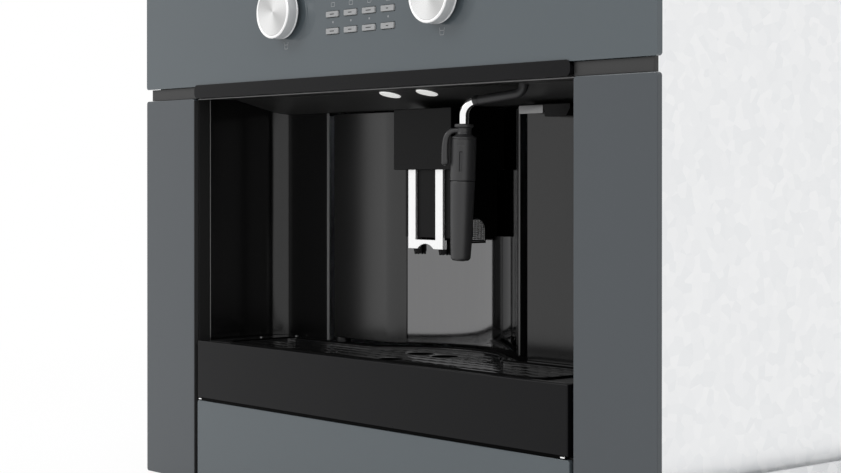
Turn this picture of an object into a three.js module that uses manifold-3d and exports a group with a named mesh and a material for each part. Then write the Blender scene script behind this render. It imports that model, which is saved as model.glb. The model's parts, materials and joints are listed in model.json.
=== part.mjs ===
// Built-in coffee machine, 60 cm wide and 45 cm high, as an assembly of separate pieces.
// Millimetres, +Z up. Inside the assembly y = 0 is the face of the front glass, x = 0 its middle
// and z = 0 the underside of the base plate. The exported group moves it to its middle in depth.

import * as THREE from 'three';
import { mergeVertices } from 'three/addons/utils/BufferGeometryUtils.js';
import Module from 'manifold-3d';

const wasm = await Module();
wasm.setup();

// ---- driving dimensions ----

const gap = 0.3; // between pieces that rest on each other
const sheet = 2; // chassis and cover sheet

// front glass and the frame behind it
const frontHalf = 297.5;
const frontTop = 455;
const frontBottom = 2;
const glassThick = 4.7;
const glassCorner = 2.5;
const sideTop = 324;
const stripHigh = 10;
const controlBottom = sideTop + stripHigh;
const sidePanel = 74;
const nicheHalf = frontHalf - sidePanel;
const lowerPlay = 4; // between the lower glass and each side panel
const lowerHalf = nicheHalf - lowerPlay;
const lowerTop = 71;
const lowerSetBack = 0.5;
const frameInset = 1.5; // above and below
const frameSideInset = 14.5;
const frameThick = 12;
const stripInset = 5.5; // dark strip between the glass pieces, from the glass ends
const stripSetBack = 2.5;

// trim bar over the niche
const barPlay = 1.9;
const barHalf = nicheHalf - barPlay;
const barProud = 1;
const barLip = 1.2;
const barLipThick = 0.7;
const barCorner = 4;

// knobs, keys and what is behind them
const knobX = 93;
const knobZ = 387.5;
const knobRadius = 21;
const knobFront = 14.2;
const knobStandOff = 3.5;
const knobRim = 1.8;
const knobDish = 0.6;
const shaftRadius = 4;
const keyWide = 15;
const keyHigh = 4.4;
const keyProud = 1.2;
const keyTravel = 1.2;
const keyFlange = 1.25;
const keyFlangeThick = 1.5;
const keyPitchX = 22;
const keyRowLow = 369.4;
const keyRowHigh = 382.3;
const keyColumns = 4;
const boardHalf = 80;
const boardThick = 2;
const boardMargin = 12;
const windowHalf = 52;
const windowMargin = 7;
const displayHalf = 46;
const displayBottom = 404;
const displayTop = 438;

// niche: the wall line in plan, and its sloping ceiling
const nicheCorner = 18.5;
const wallFace = 92;
const wallThick = 2.5;
const leftWallGap = 8.5; // from the left wall to the door
const rightWallGap = 8;
const floorTop = lowerTop + 1;
const floorBack = 236;
const floorLip = 10;
const ceilingFlat = 42;
const ceilingFront = sideTop + gap;
const ceilingDrop = 11.9;
const ceilingRear = ceilingFront - ceilingDrop;
const ceilingBack = 140;
const guideHigh = 8;

// lamps
const lampX = 21.9;
const lampMid = -4.3; // the pair stands a little left of the middle
const lampY = 51;
const lampRadius = 8.5;
const lampThick = 4;
const lampProud = 0.6;

// service door, hinged at its left edge, with a recess in its middle
const doorLeft = -151;
const doorBottom = 123.3;
const doorTop = ceilingRear - 1.4;
const doorThick = 12;
const doorEdge = 2;
const recessHalf = 75;
const recessDepth = 30;
const recessSkin = 8;
const leftFillet = 20;
const rightFillet = 1.5;
const insertHalf = 64.3;
const insertThick = 1.5;
const insertMargin = 1;
const hingeInset = 6.5; // from the left edge of the door
const hingeX = doorLeft + hingeInset;
const hingeY = wallFace + doorThick / 2;
const pinRadius = 2.5;
const pinLength = 6;
const postRadius = 6;

// coffee spout
const spoutHalf = 34;
const spoutDeep = 31; // of the spout housing, in front of the door
const spoutFront = wallFace - spoutDeep;
const spoutBottom = 263.7;
const spoutWall = 2.5;
const sliderHalf = 26.3;
const sliderSetBack = 6;
const sliderFront = spoutFront + sliderSetBack;
const sliderBottom = 211.4;
const sliderInside = 8; // how far the lowered slider still reaches up into its housing
const sliderWall = 2;
const sliderFlangeThick = 3;
const trimHalf = 20.3;
const trimLeg = 8.6;
const trimReturn = 1.3; // thickness of the foot's turned-back ends
const trimReturnDeep = 2.2;
const trimThick = 2.2;
const trimBottom = 202.5;
const trimCross = 7.1;
const scallopHalf = 9.5;
const scallopHigh = 3.9;
const gripRadius = 10;
const gripY = 92;
const gripZ = 217;
const gripBottom = 207;
const gripProud = 2;
const nozzleX = 14.6;
const nozzleY = 72;
const nozzleRadius = 5;
const nozzleBottom = 198;
const nozzleBore = 2.5;
const nozzleBoreDeep = 4;

// steam pipe and frother
const wandExitX = 130;
const wandExitY = 45;
const wandX = 90;
const wandY = 24;
const pipeRadius = 3.5;
const pipeTop = 332;
const pipeElbow = 317;
const pipeDrop = 4;
const pipeBend = 7;
const pipeEndBend = 11;
const frotherLean = 1.5; // degrees, its foot forwards and to the left
const pipeHole = 4.2;
const pipeCollarRadius = 7;
const pipeCollarThick = 3;
const frotherStub = 5.9; // straight end of the pipe above the frother
const frotherTop = pipeElbow - pipeDrop - pipeEndBend - frotherStub;
const frotherCollarThick = 2.4;
const frotherNeckHigh = 6.3;
const frotherCollarRadius = 6.9;
const frotherNeckRadius = 5.6;
const frotherShoulder = frotherTop - frotherCollarThick - frotherNeckHigh;
const frotherRadius = 9.2;
const frotherBodyHigh = 32.6;
const frotherSeam = frotherShoulder - frotherBodyHigh;
const frotherSleeveHigh = 57.2;
const frotherBottom = frotherSeam - frotherSleeveHigh;
const frotherBottomRadius = 7.1;
const frotherSpigot = 5;
const frotherSpigotRaise = 17.4; // end of the inner spigot above the sleeve's outlet
const frotherSpigotBottom = frotherBottom + frotherSpigotRaise;
const frotherOutlet = 3;
const sleeveTaper = 0.6;
const sleeveTaperHigh = 12;
const sleevePlay = 8; // room under the spigot for the sleeve to rise
const tabReach = 15.9;
const tabDrop = 21.9; // shoulder to the tab's rounded end
const tabBottom = frotherShoulder - tabDrop;
const tabThick = 4.9;
const tabWide = 8;

// rest under the ceiling, on the right wall
const restLeft = 91;
const restStep = 117;
const restRight = 143.5;
const restTop = ceilingRear - 0.9;
const restThinHigh = 6.3;
const restThickHigh = 9.5;
const restFront = 78;
const restChamfer = 4;

// drip tray, grid and float
const trayFrontPlay = 5.1;
const trayFrontHalf = nicheHalf - trayFrontPlay;
const trayFrontThick = 6;
const trayFrontBottom = lowerTop + 2;
const trayTop = 121;
const trayPlay = 6.5;
const trayHalf = nicheHalf - trayPlay;
const trayRearPlay = 2.5;
const trayRear = wallFace - trayRearPlay;
const trayClear = 2.75; // between the tray's round rear and the recess of the door
const trayFillet = 12;
const trayCorner = 10;
const trayFloor = 3;
const gridTop = trayTop - 1;
const gridThick = 1.7;
const gridSlack = 0.4;
const gridLedge = 4;
const gridEnd = 34; // from the grid to the side of the tray
const gridHalf = trayHalf - gridEnd;
const gridFront = 10;
const gridRear = 72;
const gridBulgeTop = 112.5;
const gridBulgeRadius = 90;
const gridFillet = 15;
const gridCorner = 8;
const slotLong = 6;
const slotWide = 2.4;
const slotPitch = 12.55;
const slotFirstRow = 18;
const slotMargin = 5;
const drainRadius = 10.5;
const floatX = 2;
const floatY = 28;
const floatRadius = 8;
const floatHoleRadius = 9.5;
const floatTop = 114;
const floatPostRadius = 2.5;
const floatPostTop = 98;

// cabinet side: base plate and telescopic runners
const baseInset = 18;
const baseHalf = frontHalf - baseInset;
const baseFront = 20;
const baseBack = 375;
const flangeTop = 56;
const runnerThick = 1.8;
const runnerLow = 8;
const runnerHigh = 54;
const runnerDeep = 9;

// chassis
const coverInset = 35.3; // from the end of the front to the side cover
const coverHalf = frontHalf - coverInset;
const bodyBack = 395;
const bodyLow = 5;
const bodyTop = 443;
const ventLength = 90;
const ventHigh = 4;
const ventPitch = 12;
const ventCount = 8;
const ventX = 40;
const ventLow = 330;

// bean hopper, lid and grinder
const hopperX = -120;
const hopperY = 220;
const hopperHalf = 68;
const hopperLow = 350;
const hopperOutlet = 20;
const hopperWall = 2.5;
const hopperRim = 5;
const lidMargin = 6;
const lidThick = 3;
const lidPlug = 4;
const knuckleRadius = 2;
const knuckleLong = 14;
const knuckleX = 45;
const lidPinRadius = 1;
const lidSetBack = 2.6; // from the hinge line to the rear edge of the lid
const lugRadius = 2.2;
const lugLong = 7;
const grinderRadius = 35;
const grinderLow = 250;
const chuteHigh = 12;
const chuteWide = 22;

// brew unit and grounds container
const brewHalf = 45;
const brewPlateFront = 238;
const brewPlateThick = 8;
const brewTop = 300;
const brewLow = 150;
const brewRadius = 32;
const brewY = 190;
const binHalf = 60;
const binFront = 145;
const binBack = 232;
const binTop = 138;
const binWall = 2;

// water tank, its seat, boiler and pump
const tankLeft = 150;
const tankRight = 250;
const tankNear = 180;
const tankFar = 330;
const tankLow = 262.3;
const tankHeight = 438;
const tankWall = 2.5;
const tankCorner = 12;
const tankCut = 2;
const seatThick = 4;
const seatDrop = 40;
const boilerX = 40;
const boilerZ = 235;
const boilerRadius = 38;
const boilerFront = 325;
const boilerFlange = 4;
const pumpX = 110;
const pumpY = 330;
const pumpRadius = 22;
const pumpLong = 70;
const pumpAxisZ = 38;

// mains inlet with its switch
const inletX = -175;
const inletHalf = 24;
const inletBottom = 40;
const inletTop = 90;
const inletDeep = 20;
const inletFlange = 3;
const inletFlangeThick = 2;
const socketHalf = 12;
const socketLow = 44;
const socketHigh = 60;
const socketDeep = 17;
const rockerHalf = 20;
const rockerRadius = 9.5;
const rockerZ = 77;
const rockerSetBack = 6.3;
const rockerTilt = 8;

// ---- sizes worked out from them ----

const frameFront = glassThick + gap;
const frameBack = frameFront + frameThick;
const behindFrame = frameBack + gap;
const coverInner = coverHalf - sheet;
const chassisHalf = coverInner - gap;
const recessRadius = (recessHalf ** 2 + recessDepth ** 2) / (2 * recessDepth);
const recessY = wallFace + recessDepth - recessRadius;
const sliderTop = spoutBottom + sliderInside;

// How far from the middle a fillet stands that joins a flat face to a circle about x = 0.
function filletPlace(face, radius, circleY, circleRadius) {
  return Math.sqrt((circleRadius + radius) ** 2 - (face + radius - circleY) ** 2);
}

const doorRight = filletPlace(wallFace, rightFillet, recessY, recessRadius) + rightFillet;
const rearmost = bodyBack + gap + inletFlangeThick;

// ---- finishes ----

function finish(color, roughness, metalness) {
  return new THREE.MeshStandardMaterial({ color, roughness, metalness });
}

const greyGlass = finish(0x687072, 0.08, 0);
const blackPlastic = finish(0x282829, 0.35, 0);
const glossBlack = finish(0x1c1c1d, 0.06, 0);
const darkSteel = finish(0x85888a, 0.1, 1);
const satinSteel = finish(0xcfd0d0, 0.3, 1);
const brightSteel = finish(0xe4e5e6, 0.12, 1);
const zincSheet = finish(0xa9adb0, 0.45, 1);
const greyPlastic = finish(0x45474a, 0.6, 0);
const keyPlastic = finish(0xe1e2e2, 0.35, 0);
const clearPlastic = finish(0xb8c4cc, 0.1, 0);
const lampGlass = finish(0xf6f4ee, 0.2, 0);
const boardGreen = finish(0x1f5a3c, 0.5, 0);
const castAlloy = finish(0x9a9c9e, 0.5, 1);
const floatRed = finish(0xb02a22, 0.4, 0);

// ---- shape helpers ----

// A closed solid from a geometry: vertices merged, slivers at poles dropped, faces turned outwards.
function solid(geometry) {
  const bare = geometry.clone();
  bare.deleteAttribute('normal');
  bare.deleteAttribute('uv');
  const merged = mergeVertices(bare, 1e-4);
  const place = merged.attributes.position;
  const index = merged.index.array;
  const corners = [];
  const a = new THREE.Vector3();
  const b = new THREE.Vector3();
  const c = new THREE.Vector3();
  let volume = 0;
  for (let i = 0; i < index.length; i += 3) {
    const [p, q, r] = [index[i], index[i + 1], index[i + 2]];
    if (p === q || q === r || r === p) continue;
    corners.push(p, q, r);
    a.fromBufferAttribute(place, p);
    b.fromBufferAttribute(place, q);
    c.fromBufferAttribute(place, r);
    volume += a.dot(b.cross(c));
  }
  if (volume < 0) corners.reverse();
  return new wasm.Manifold(new wasm.Mesh({
    numProp: 3,
    vertProperties: new Float32Array(place.array),
    triVerts: new Uint32Array(corners),
  }));
}

function join(first, ...others) {
  return others.reduce((sum, other) => sum.add(other), first);
}

function cut(first, ...others) {
  return others.reduce((rest, other) => rest.subtract(other), first);
}

function block([x0, x1], [y0, y1], [z0, z1]) {
  const box = new THREE.BoxGeometry(x1 - x0, y1 - y0, z1 - z0);
  return solid(box.translate((x0 + x1) / 2, (y0 + y1) / 2, (z0 + z1) / 2));
}

// A plan outline (x, y) raised from z0 to z1.
function alongZ(shape, z0, z1, curveSegments = 24) {
  const body = new THREE.ExtrudeGeometry(shape, { depth: z1 - z0, bevelEnabled: false, curveSegments });
  return solid(body.translate(0, 0, z0));
}

// A front outline (x, z) run back from y0 to y1.
const frontToWorld = new THREE.Matrix4().makeBasis(
  new THREE.Vector3(1, 0, 0), new THREE.Vector3(0, 0, 1), new THREE.Vector3(0, -1, 0));
function alongY(shape, y0, y1, curveSegments = 12) {
  const body = new THREE.ExtrudeGeometry(shape, { depth: y1 - y0, bevelEnabled: false, curveSegments });
  return solid(body.applyMatrix4(frontToWorld).translate(0, y1, 0));
}

// A side outline (y, z) run across from x0 to x1.
const sideToWorld = new THREE.Matrix4().makeBasis(
  new THREE.Vector3(0, 1, 0), new THREE.Vector3(0, 0, 1), new THREE.Vector3(1, 0, 0));
function alongX(shape, x0, x1, curveSegments = 12) {
  const body = new THREE.ExtrudeGeometry(shape, { depth: x1 - x0, bevelEnabled: false, curveSegments });
  return solid(body.applyMatrix4(sideToWorld).translate(x0, 0, 0));
}

function polygon(points) {
  return new THREE.Shape(points.map(([u, v]) => new THREE.Vector2(u, v)));
}

function rectangle(u0, v0, u1, v1) {
  return polygon([[u0, v0], [u1, v0], [u1, v1], [u0, v1]]);
}

function rounded(u0, v0, u1, v1, radius) {
  const shape = new THREE.Shape();
  shape.absarc(u0 + radius, v0 + radius, radius, Math.PI, 1.5 * Math.PI, false);
  shape.absarc(u1 - radius, v0 + radius, radius, -0.5 * Math.PI, 0, false);
  shape.absarc(u1 - radius, v1 - radius, radius, 0, 0.5 * Math.PI, false);
  shape.absarc(u0 + radius, v1 - radius, radius, 0.5 * Math.PI, Math.PI, false);
  return shape;
}

function circle(u, v, radius) {
  return new THREE.Shape().absarc(u, v, radius, 0, 2 * Math.PI, false);
}

// A profile of [radius, height] turned about the vertical line through (x, y).
function turnedUpright(profile, x, y, segments = 24) {
  const lathe = new THREE.LatheGeometry(profile.map(([r, h]) => new THREE.Vector2(r, h)), segments);
  return solid(lathe.rotateX(Math.PI / 2).translate(x, y, 0));
}

// A profile of [radius, y] turned about the line through (x, z) that runs front to back.
function turnedForward(profile, x, z, segments = 36) {
  const lathe = new THREE.LatheGeometry(profile.map(([r, h]) => new THREE.Vector2(r, h)), segments);
  return solid(lathe.translate(x, 0, z));
}

function post(x, y, radius, z0, z1, segments = 24) {
  return turnedUpright([[0, z0], [radius, z0], [radius, z1], [0, z1]], x, y, segments);
}

function mesh(name, body, material) {
  const result = body.getMesh();
  const geometry = new THREE.BufferGeometry();
  geometry.setAttribute('position', new THREE.BufferAttribute(new Float32Array(result.vertProperties), 3));
  geometry.setIndex(new THREE.BufferAttribute(new Uint32Array(result.triVerts), 1));
  geometry.computeVertexNormals();
  const piece = new THREE.Mesh(geometry, material);
  piece.name = name;
  return piece;
}

function group(...pieces) {
  return new THREE.Group().add(...pieces.flat());
}

// ---- cabinet side ----

function basePlate() {
  const inner = baseHalf - sheet;
  const outline = polygon([
    [-baseHalf, 0], [baseHalf, 0], [baseHalf, flangeTop], [inner, flangeTop],
    [inner, sheet], [-inner, sheet], [-inner, flangeTop], [-baseHalf, flangeTop],
  ]);
  return alongY(outline, baseFront, baseBack);
}

// One runner member: a channel whose web stands at webX and whose lips reach towards lipX.
function channel(webX, lipX, low, high) {
  const inward = Math.sign(lipX - webX);
  const face = webX + inward * runnerThick;
  const outline = polygon([
    [webX, low], [lipX, low], [lipX, low + runnerThick], [face, low + runnerThick],
    [face, high - runnerThick], [lipX, high - runnerThick], [lipX, high], [webX, high],
  ]);
  return alongY(outline, baseFront, baseBack);
}

const nest = runnerThick + gap; // each member sits this far inside the next
const outerWeb = baseHalf - sheet - gap;
const middleWeb = outerWeb - nest;
const innerWeb = coverHalf + gap;

function runners(side) {
  const outer = channel(side * outerWeb, side * (outerWeb - runnerDeep), runnerLow, runnerHigh);
  const middle = channel(side * middleWeb, side * (middleWeb - runnerDeep), runnerLow + nest, runnerHigh - nest);
  const inner = channel(side * innerWeb, side * (middleWeb - nest), runnerLow + 2 * nest, runnerHigh - 2 * nest);
  return { outer, middle, inner };
}

// ---- chassis and covers ----

function chassis() {
  const outline = polygon([
    [behindFrame, bodyLow], [bodyBack, bodyLow], [bodyBack, bodyTop - sheet - gap],
    [bodyBack - sheet, bodyTop - sheet - gap], [bodyBack - sheet, bodyLow + sheet], [behindFrame, bodyLow + sheet],
  ]);
  const vents = Array.from({ length: ventCount }, (_, i) => {
    const low = ventLow + i * ventPitch;
    return block([ventX, ventX + ventLength], [bodyBack - 2 * sheet, bodyBack + sheet], [low, low + ventHigh]);
  });
  const inletHole = block(
    [inletX - inletHalf - gap, inletX + inletHalf + gap],
    [bodyBack - 2 * sheet, bodyBack + sheet],
    [inletBottom - gap, inletTop + gap]);
  return cut(alongX(outline, -chassisHalf, chassisHalf), inletHole, ...vents);
}

function sideCover(side) {
  const [x0, x1] = [side * coverInner, side * coverHalf].sort((a, b) => a - b);
  return block([x0, x1], [behindFrame, bodyBack], [bodyLow, bodyTop]);
}

const lidHalf = hopperHalf + lidMargin;
const lidBack = hopperY + lidHalf;
const lidLow = bodyTop + gap;
const lidAxisZ = lidLow + knuckleRadius + gap;

function topCover() {
  const opening = hopperHalf - hopperWall;
  const hopperCut = block(
    [hopperX - opening, hopperX + opening], [hopperY - opening, hopperY + opening],
    [bodyTop - 2 * sheet, bodyTop + sheet]);
  const tankHole = block(
    [tankLeft - tankCut, tankRight + tankCut], [tankNear - tankCut, tankFar + tankCut],
    [bodyTop - 2 * sheet, bodyTop + sheet]);
  const lugs = [-1, 1].map((side) => {
    const start = hopperX + side * (knuckleX + knuckleLong / 2 + gap);
    const [x0, x1] = [start, start + side * lugLong].sort((a, b) => a - b);
    return cut(
      join(
        alongX(circle(lidBack, lidAxisZ, lugRadius), x0, x1, 8),
        block([x0, x1], [lidBack - lugRadius, lidBack + lugRadius], [bodyTop - sheet, lidAxisZ])),
      alongX(circle(lidBack, lidAxisZ, lidPinRadius + gap), x0 - gap, x1 + gap, 8));
  });
  const cover = block([-chassisHalf, chassisHalf], [behindFrame, bodyBack], [bodyTop - sheet, bodyTop]);
  return join(cut(cover, hopperCut, tankHole), ...lugs);
}

// ---- front frame and glass ----

const keyRows = [keyRowLow, keyRowHigh];
const keyPlaces = keyRows.flatMap((z) => Array.from({ length: keyColumns }, (_, i) => {
  const x = (i - (keyColumns - 1) / 2) * keyPitchX;
  return [x, z];
}));
const windowLow = keyRowLow - keyHigh / 2 - windowMargin;
const windowHigh = displayTop + windowMargin / 2;

function shaftHoles(y0, y1) {
  const radius = shaftRadius + gap;
  return [-knobX, knobX].map((x) => turnedForward([[0, y0], [radius, y0], [radius, y1], [0, y1]], x, knobZ, 24));
}

function frontFrame() {
  const half = frontHalf - frameSideInset;
  const outline = rectangle(-half, frontBottom + frameInset, half, frontTop - frameInset);
  outline.holes.push(rectangle(-nicheHalf, floorTop, nicheHalf, sideTop));
  outline.holes.push(rectangle(-windowHalf, windowLow, windowHalf, windowHigh));
  const strips = [-1, 1].map((side) => {
    const ends = [side * (barHalf + gap), side * (frontHalf - stripInset)].sort((a, b) => a - b);
    return block(ends, [stripSetBack, frameFront + gap], [sideTop + gap, controlBottom - gap]);
  });
  const plate = alongY(outline, frameFront, frameBack);
  return cut(join(plate, ...strips), ...shaftHoles(frameFront - gap, frameBack + gap));
}

function controlGlass() {
  const outline = rounded(-frontHalf, controlBottom, frontHalf, frontTop, glassCorner);
  const [halfWide, halfHigh] = [keyWide / 2 + gap, keyHigh / 2 + gap];
  const keyHoles = keyPlaces.map(([x, z]) =>
    block([x - halfWide, x + halfWide], [-gap, glassThick + gap], [z - halfHigh, z + halfHigh]));
  return cut(alongY(outline, 0, glassThick, 4), ...keyHoles, ...shaftHoles(-gap, glassThick + gap));
}

function sideGlass(side) {
  const [x0, x1] = [side * nicheHalf, side * frontHalf].sort((a, b) => a - b);
  return alongY(rounded(x0, frontBottom, x1, sideTop, glassCorner), 0, glassThick, 4);
}

function lowerGlass() {
  return alongY(rounded(-lowerHalf, frontBottom, lowerHalf, lowerTop, glassCorner), lowerSetBack, glassThick, 4);
}

function trimBar() {
  const low = sideTop + gap;
  const high = controlBottom - gap;
  const face = rounded(-barHalf, low, barHalf, high + gap + barLip, barCorner);
  const back = rectangle(-barHalf + barCorner, low, barHalf - barCorner, high);
  return join(
    alongY(face, -barProud, -barProud + barLipThick, 6),
    alongY(rounded(-barHalf, low, barHalf, high, barCorner), -barProud + barLipThick / 2, glassThick, 6),
    alongY(back, -barProud + barLipThick / 2, glassThick));
}

// ---- knobs, keys and control board ----

function knob() {
  const edge = 0.5;
  const rim = knobRadius - knobRim;
  return turnedForward([
    [0, -knobFront + knobDish], [rim, -knobFront + knobDish], [rim + edge, -knobFront],
    [knobRadius - edge, -knobFront], [knobRadius, -knobFront + edge], [knobRadius, -knobStandOff - edge],
    [knobRadius - edge, -knobStandOff], [shaftRadius, -knobStandOff], [shaftRadius, frameBack - gap],
    [0, frameBack - gap],
  ], 0, 0);
}

function key() {
  const cap = rounded(-keyWide / 2, -keyHigh / 2, keyWide / 2, keyHigh / 2, 0.6);
  const flange = rectangle(
    -keyWide / 2 - keyFlange, -keyHigh / 2 - keyFlange, keyWide / 2 + keyFlange, keyHigh / 2 + keyFlange);
  const flangeFront = glassThick + gap;
  return join(
    alongY(cap, -keyProud, flangeFront + gap, 3),
    alongY(flange, flangeFront, flangeFront + keyFlangeThick));
}

function controlBoard() {
  const board = block(
    [-boardHalf, boardHalf], [behindFrame, behindFrame + boardThick],
    [windowLow - boardMargin, displayTop + boardThick]);
  const display = block([-displayHalf, displayHalf], [glassThick + gap, behindFrame + gap], [displayBottom, displayTop]);
  const switchFront = glassThick + gap + keyFlangeThick + keyTravel + gap;
  const switches = keyPlaces.map(([x, z]) => {
    const half = keyHigh / 2 - gap;
    return block([x - half, x + half], [switchFront, behindFrame + gap], [z - half, z + half]);
  });
  return join(board, display, ...switches);
}

// ---- niche ----

// The ceiling's underside as points of [y, z], lifted by the amount given.
function ceilingLine(lift) {
  return [
    [behindFrame, ceilingFront + lift], [ceilingFlat, ceilingFront + lift],
    [wallFace, ceilingRear + lift], [ceilingBack, ceilingRear + lift],
  ];
}

function nicheWall(side, end) {
  const [centreX, centreY] = [side * (nicheHalf - nicheCorner), wallFace - nicheCorner];
  const [level, square] = side > 0 ? [0, 0.5 * Math.PI] : [Math.PI, 0.5 * Math.PI];
  const outline = new THREE.Shape();
  outline.moveTo(side * nicheHalf, behindFrame);
  outline.absarc(centreX, centreY, nicheCorner, level, square, side < 0);
  outline.lineTo(end, wallFace);
  outline.lineTo(end, wallFace + wallThick);
  outline.absarc(centreX, centreY, nicheCorner + wallThick, square, level, side > 0);
  outline.lineTo(side * (nicheHalf + wallThick), behindFrame);
  const over = 40;
  const above = polygon([...ceilingLine(-gap), [ceilingBack, ceilingFront + over], [behindFrame, ceilingFront + over]]);
  const inner = nicheHalf - gap / 2;
  return cut(
    alongZ(outline, floorTop + gap, ceilingFront + wallThick, 8),
    alongX(above, -inner, inner));
}

const ceilingSlope = Math.atan((ceilingFront - ceilingRear) / (wallFace - ceilingFlat));

// A disc lying in the sloping part of the ceiling, at lamp position x.
function ceilingDisc(x, radius, low, high) {
  const z = ceilingFront - (lampY - ceilingFlat) * Math.tan(ceilingSlope);
  const profile = [[0, low], [radius, low], [radius, high], [0, high]];
  const lathe = new THREE.LatheGeometry(profile.map(([r, h]) => new THREE.Vector2(r, h)), 28);
  return solid(lathe.rotateX(Math.PI / 2 - ceilingSlope).translate(x, lampY, z));
}

function nicheCeiling() {
  const inner = nicheHalf - gap;
  const outline = polygon([...ceilingLine(0), ...ceilingLine(wallThick).reverse()]);
  const lamps = [lampMid - lampX, lampMid + lampX].map((x) => ceilingDisc(x, lampRadius + gap, -lampThick * 2, lampThick * 2));
  return cut(
    alongX(outline, -inner, inner), ...lamps,
    post(wandExitX, wandExitY, pipeHole, ceilingRear, ceilingFront + 2 * wallThick),
    post(hingeX, hingeY, pinRadius + gap, ceilingRear - gap, ceilingRear + 2 * wallThick));
}

function lampLens(x) {
  return ceilingDisc(x, lampRadius, -lampProud, lampThick - lampProud);
}

function nicheFloor() {
  const inner = nicheHalf - gap;
  const lipBack = binFront - gap - binWall;
  const plate = block([-inner, inner], [behindFrame, floorBack], [floorTop - sheet, floorTop]);
  const lip = block([-binHalf, binHalf], [lipBack - sheet, lipBack], [floorTop - sheet, floorTop + floorLip]);
  const guides = [-1, 1].map((side) => {
    const ends = [side * (trayHalf + gap), side * (trayHalf + gap + sheet)].sort((a, b) => a - b);
    return block(ends, [behindFrame, trayRear - trayCorner], [floorTop - sheet, floorTop + guideHigh]);
  });
  const hingePost = cut(
    post(hingeX, hingeY, postRadius, floorTop - sheet / 2, doorBottom - gap),
    post(hingeX, hingeY, pinRadius + gap, doorBottom - pinLength - 1, doorBottom + gap));
  return join(plate, lip, hingePost, ...guides);
}

function wandRest() {
  const outline = polygon([
    [restLeft, restTop - restThinHigh], [restStep, restTop - restThinHigh], [restStep, restTop - restThickHigh], [restRight - restChamfer, restTop - restThickHigh],
    [restRight, restTop - restChamfer], [restRight, restTop], [restLeft, restTop],
  ]);
  return alongY(outline, restFront, wallFace - gap);
}

// ---- service door ----

function doorOutline() {
  const back = wallFace + doorThick;
  const skinRadius = recessRadius + recessSkin + insertThick + gap;
  const seatRadius = recessRadius + insertThick + gap;
  const leftX = filletPlace(wallFace, leftFillet, recessY, recessRadius);
  const rightX = filletPlace(wallFace, rightFillet, recessY, recessRadius);
  const leftTurn = Math.atan2(recessY - wallFace - leftFillet, leftX);
  const rightTurn = Math.atan2(recessY - wallFace - rightFillet, -rightX);
  const insertTurn = Math.acos((insertHalf + gap) / recessRadius);
  const backTurn = Math.asin((back - recessY) / skinRadius);
  const outline = new THREE.Shape();
  outline.moveTo(doorLeft, back);
  outline.absarc(doorLeft + doorEdge, wallFace + doorEdge, doorEdge, Math.PI, 1.5 * Math.PI, false);
  outline.absarc(-leftX, wallFace + leftFillet, leftFillet, -0.5 * Math.PI, leftTurn, false);
  outline.absarc(0, recessY, recessRadius, leftTurn + Math.PI, Math.PI - insertTurn, true);
  outline.absarc(0, recessY, seatRadius, Math.PI - insertTurn, insertTurn, true);
  outline.absarc(0, recessY, recessRadius, insertTurn, rightTurn + Math.PI, true);
  outline.absarc(rightX, wallFace + rightFillet, rightFillet, rightTurn, 0, false);
  outline.lineTo(rightX + rightFillet, back);
  outline.absarc(0, recessY, skinRadius, backTurn, Math.PI - backTurn, false);
  outline.lineTo(doorLeft, back);
  return outline;
}

function serviceDoor() {
  return join(
    alongZ(doorOutline(), doorBottom, doorTop, 14),
    post(hingeX, hingeY, pinRadius, doorBottom - pinLength, doorBottom + pinLength, 16),
    post(hingeX, hingeY, pinRadius, doorTop - pinLength, ceilingRear + wallThick, 16));
}

function recessInsert() {
  const turn = Math.acos(insertHalf / recessRadius);
  const outline = new THREE.Shape();
  outline.absarc(0, recessY, recessRadius, Math.PI - turn, turn, true);
  outline.absarc(0, recessY, recessRadius + insertThick, turn, Math.PI - turn, false);
  return alongZ(outline, doorBottom + insertMargin, doorTop - insertMargin, 20);
}

// ---- coffee spout ----

// A plan outline with straight front and sides, whose back follows the recess at the inset given.
function spoutPlan(half, front, inset) {
  const radius = recessRadius - inset;
  const turn = Math.acos(half / radius);
  const outline = new THREE.Shape();
  outline.moveTo(-half, front);
  outline.lineTo(half, front);
  outline.absarc(0, recessY, radius, turn, Math.PI - turn, false);
  outline.lineTo(-half, front);
  return outline;
}

function spoutHousing() {
  const inner = spoutPlan(spoutHalf - spoutWall, spoutFront + spoutWall, gap + spoutWall);
  return cut(
    alongZ(spoutPlan(spoutHalf, spoutFront, gap), spoutBottom, doorTop, 8),
    alongZ(inner, spoutBottom - gap, doorTop - spoutWall, 8));
}

function spoutSlider() {
  const inset = 2 * gap + spoutWall;
  const flangeHalf = spoutHalf - spoutWall - gap;
  const grips = [-1, 1].map((side) => {
    const outline = new THREE.Shape();
    outline.moveTo(gripY - gripRadius, gripBottom);
    outline.lineTo(gripY + gripRadius, gripBottom);
    outline.absarc(gripY, gripZ, gripRadius, 0, Math.PI, false);
    outline.lineTo(gripY - gripRadius, gripBottom);
    const ends = [side * (sliderHalf - sliderWall / 2), side * (sliderHalf + gripProud)].sort((a, b) => a - b);
    return alongX(outline, ...ends, 10);
  });
  const shell = cut(
    join(
      alongZ(spoutPlan(sliderHalf, sliderFront, inset), sliderBottom, sliderTop, 8),
      alongZ(spoutPlan(flangeHalf, sliderFront, inset), sliderTop - sliderFlangeThick, sliderTop, 8)),
    alongZ(spoutPlan(sliderHalf - sliderWall, sliderFront + sliderWall, inset + sliderWall),
      sliderBottom + sliderWall, sliderTop + gap, 8));
  return join(shell, ...grips);
}

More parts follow.
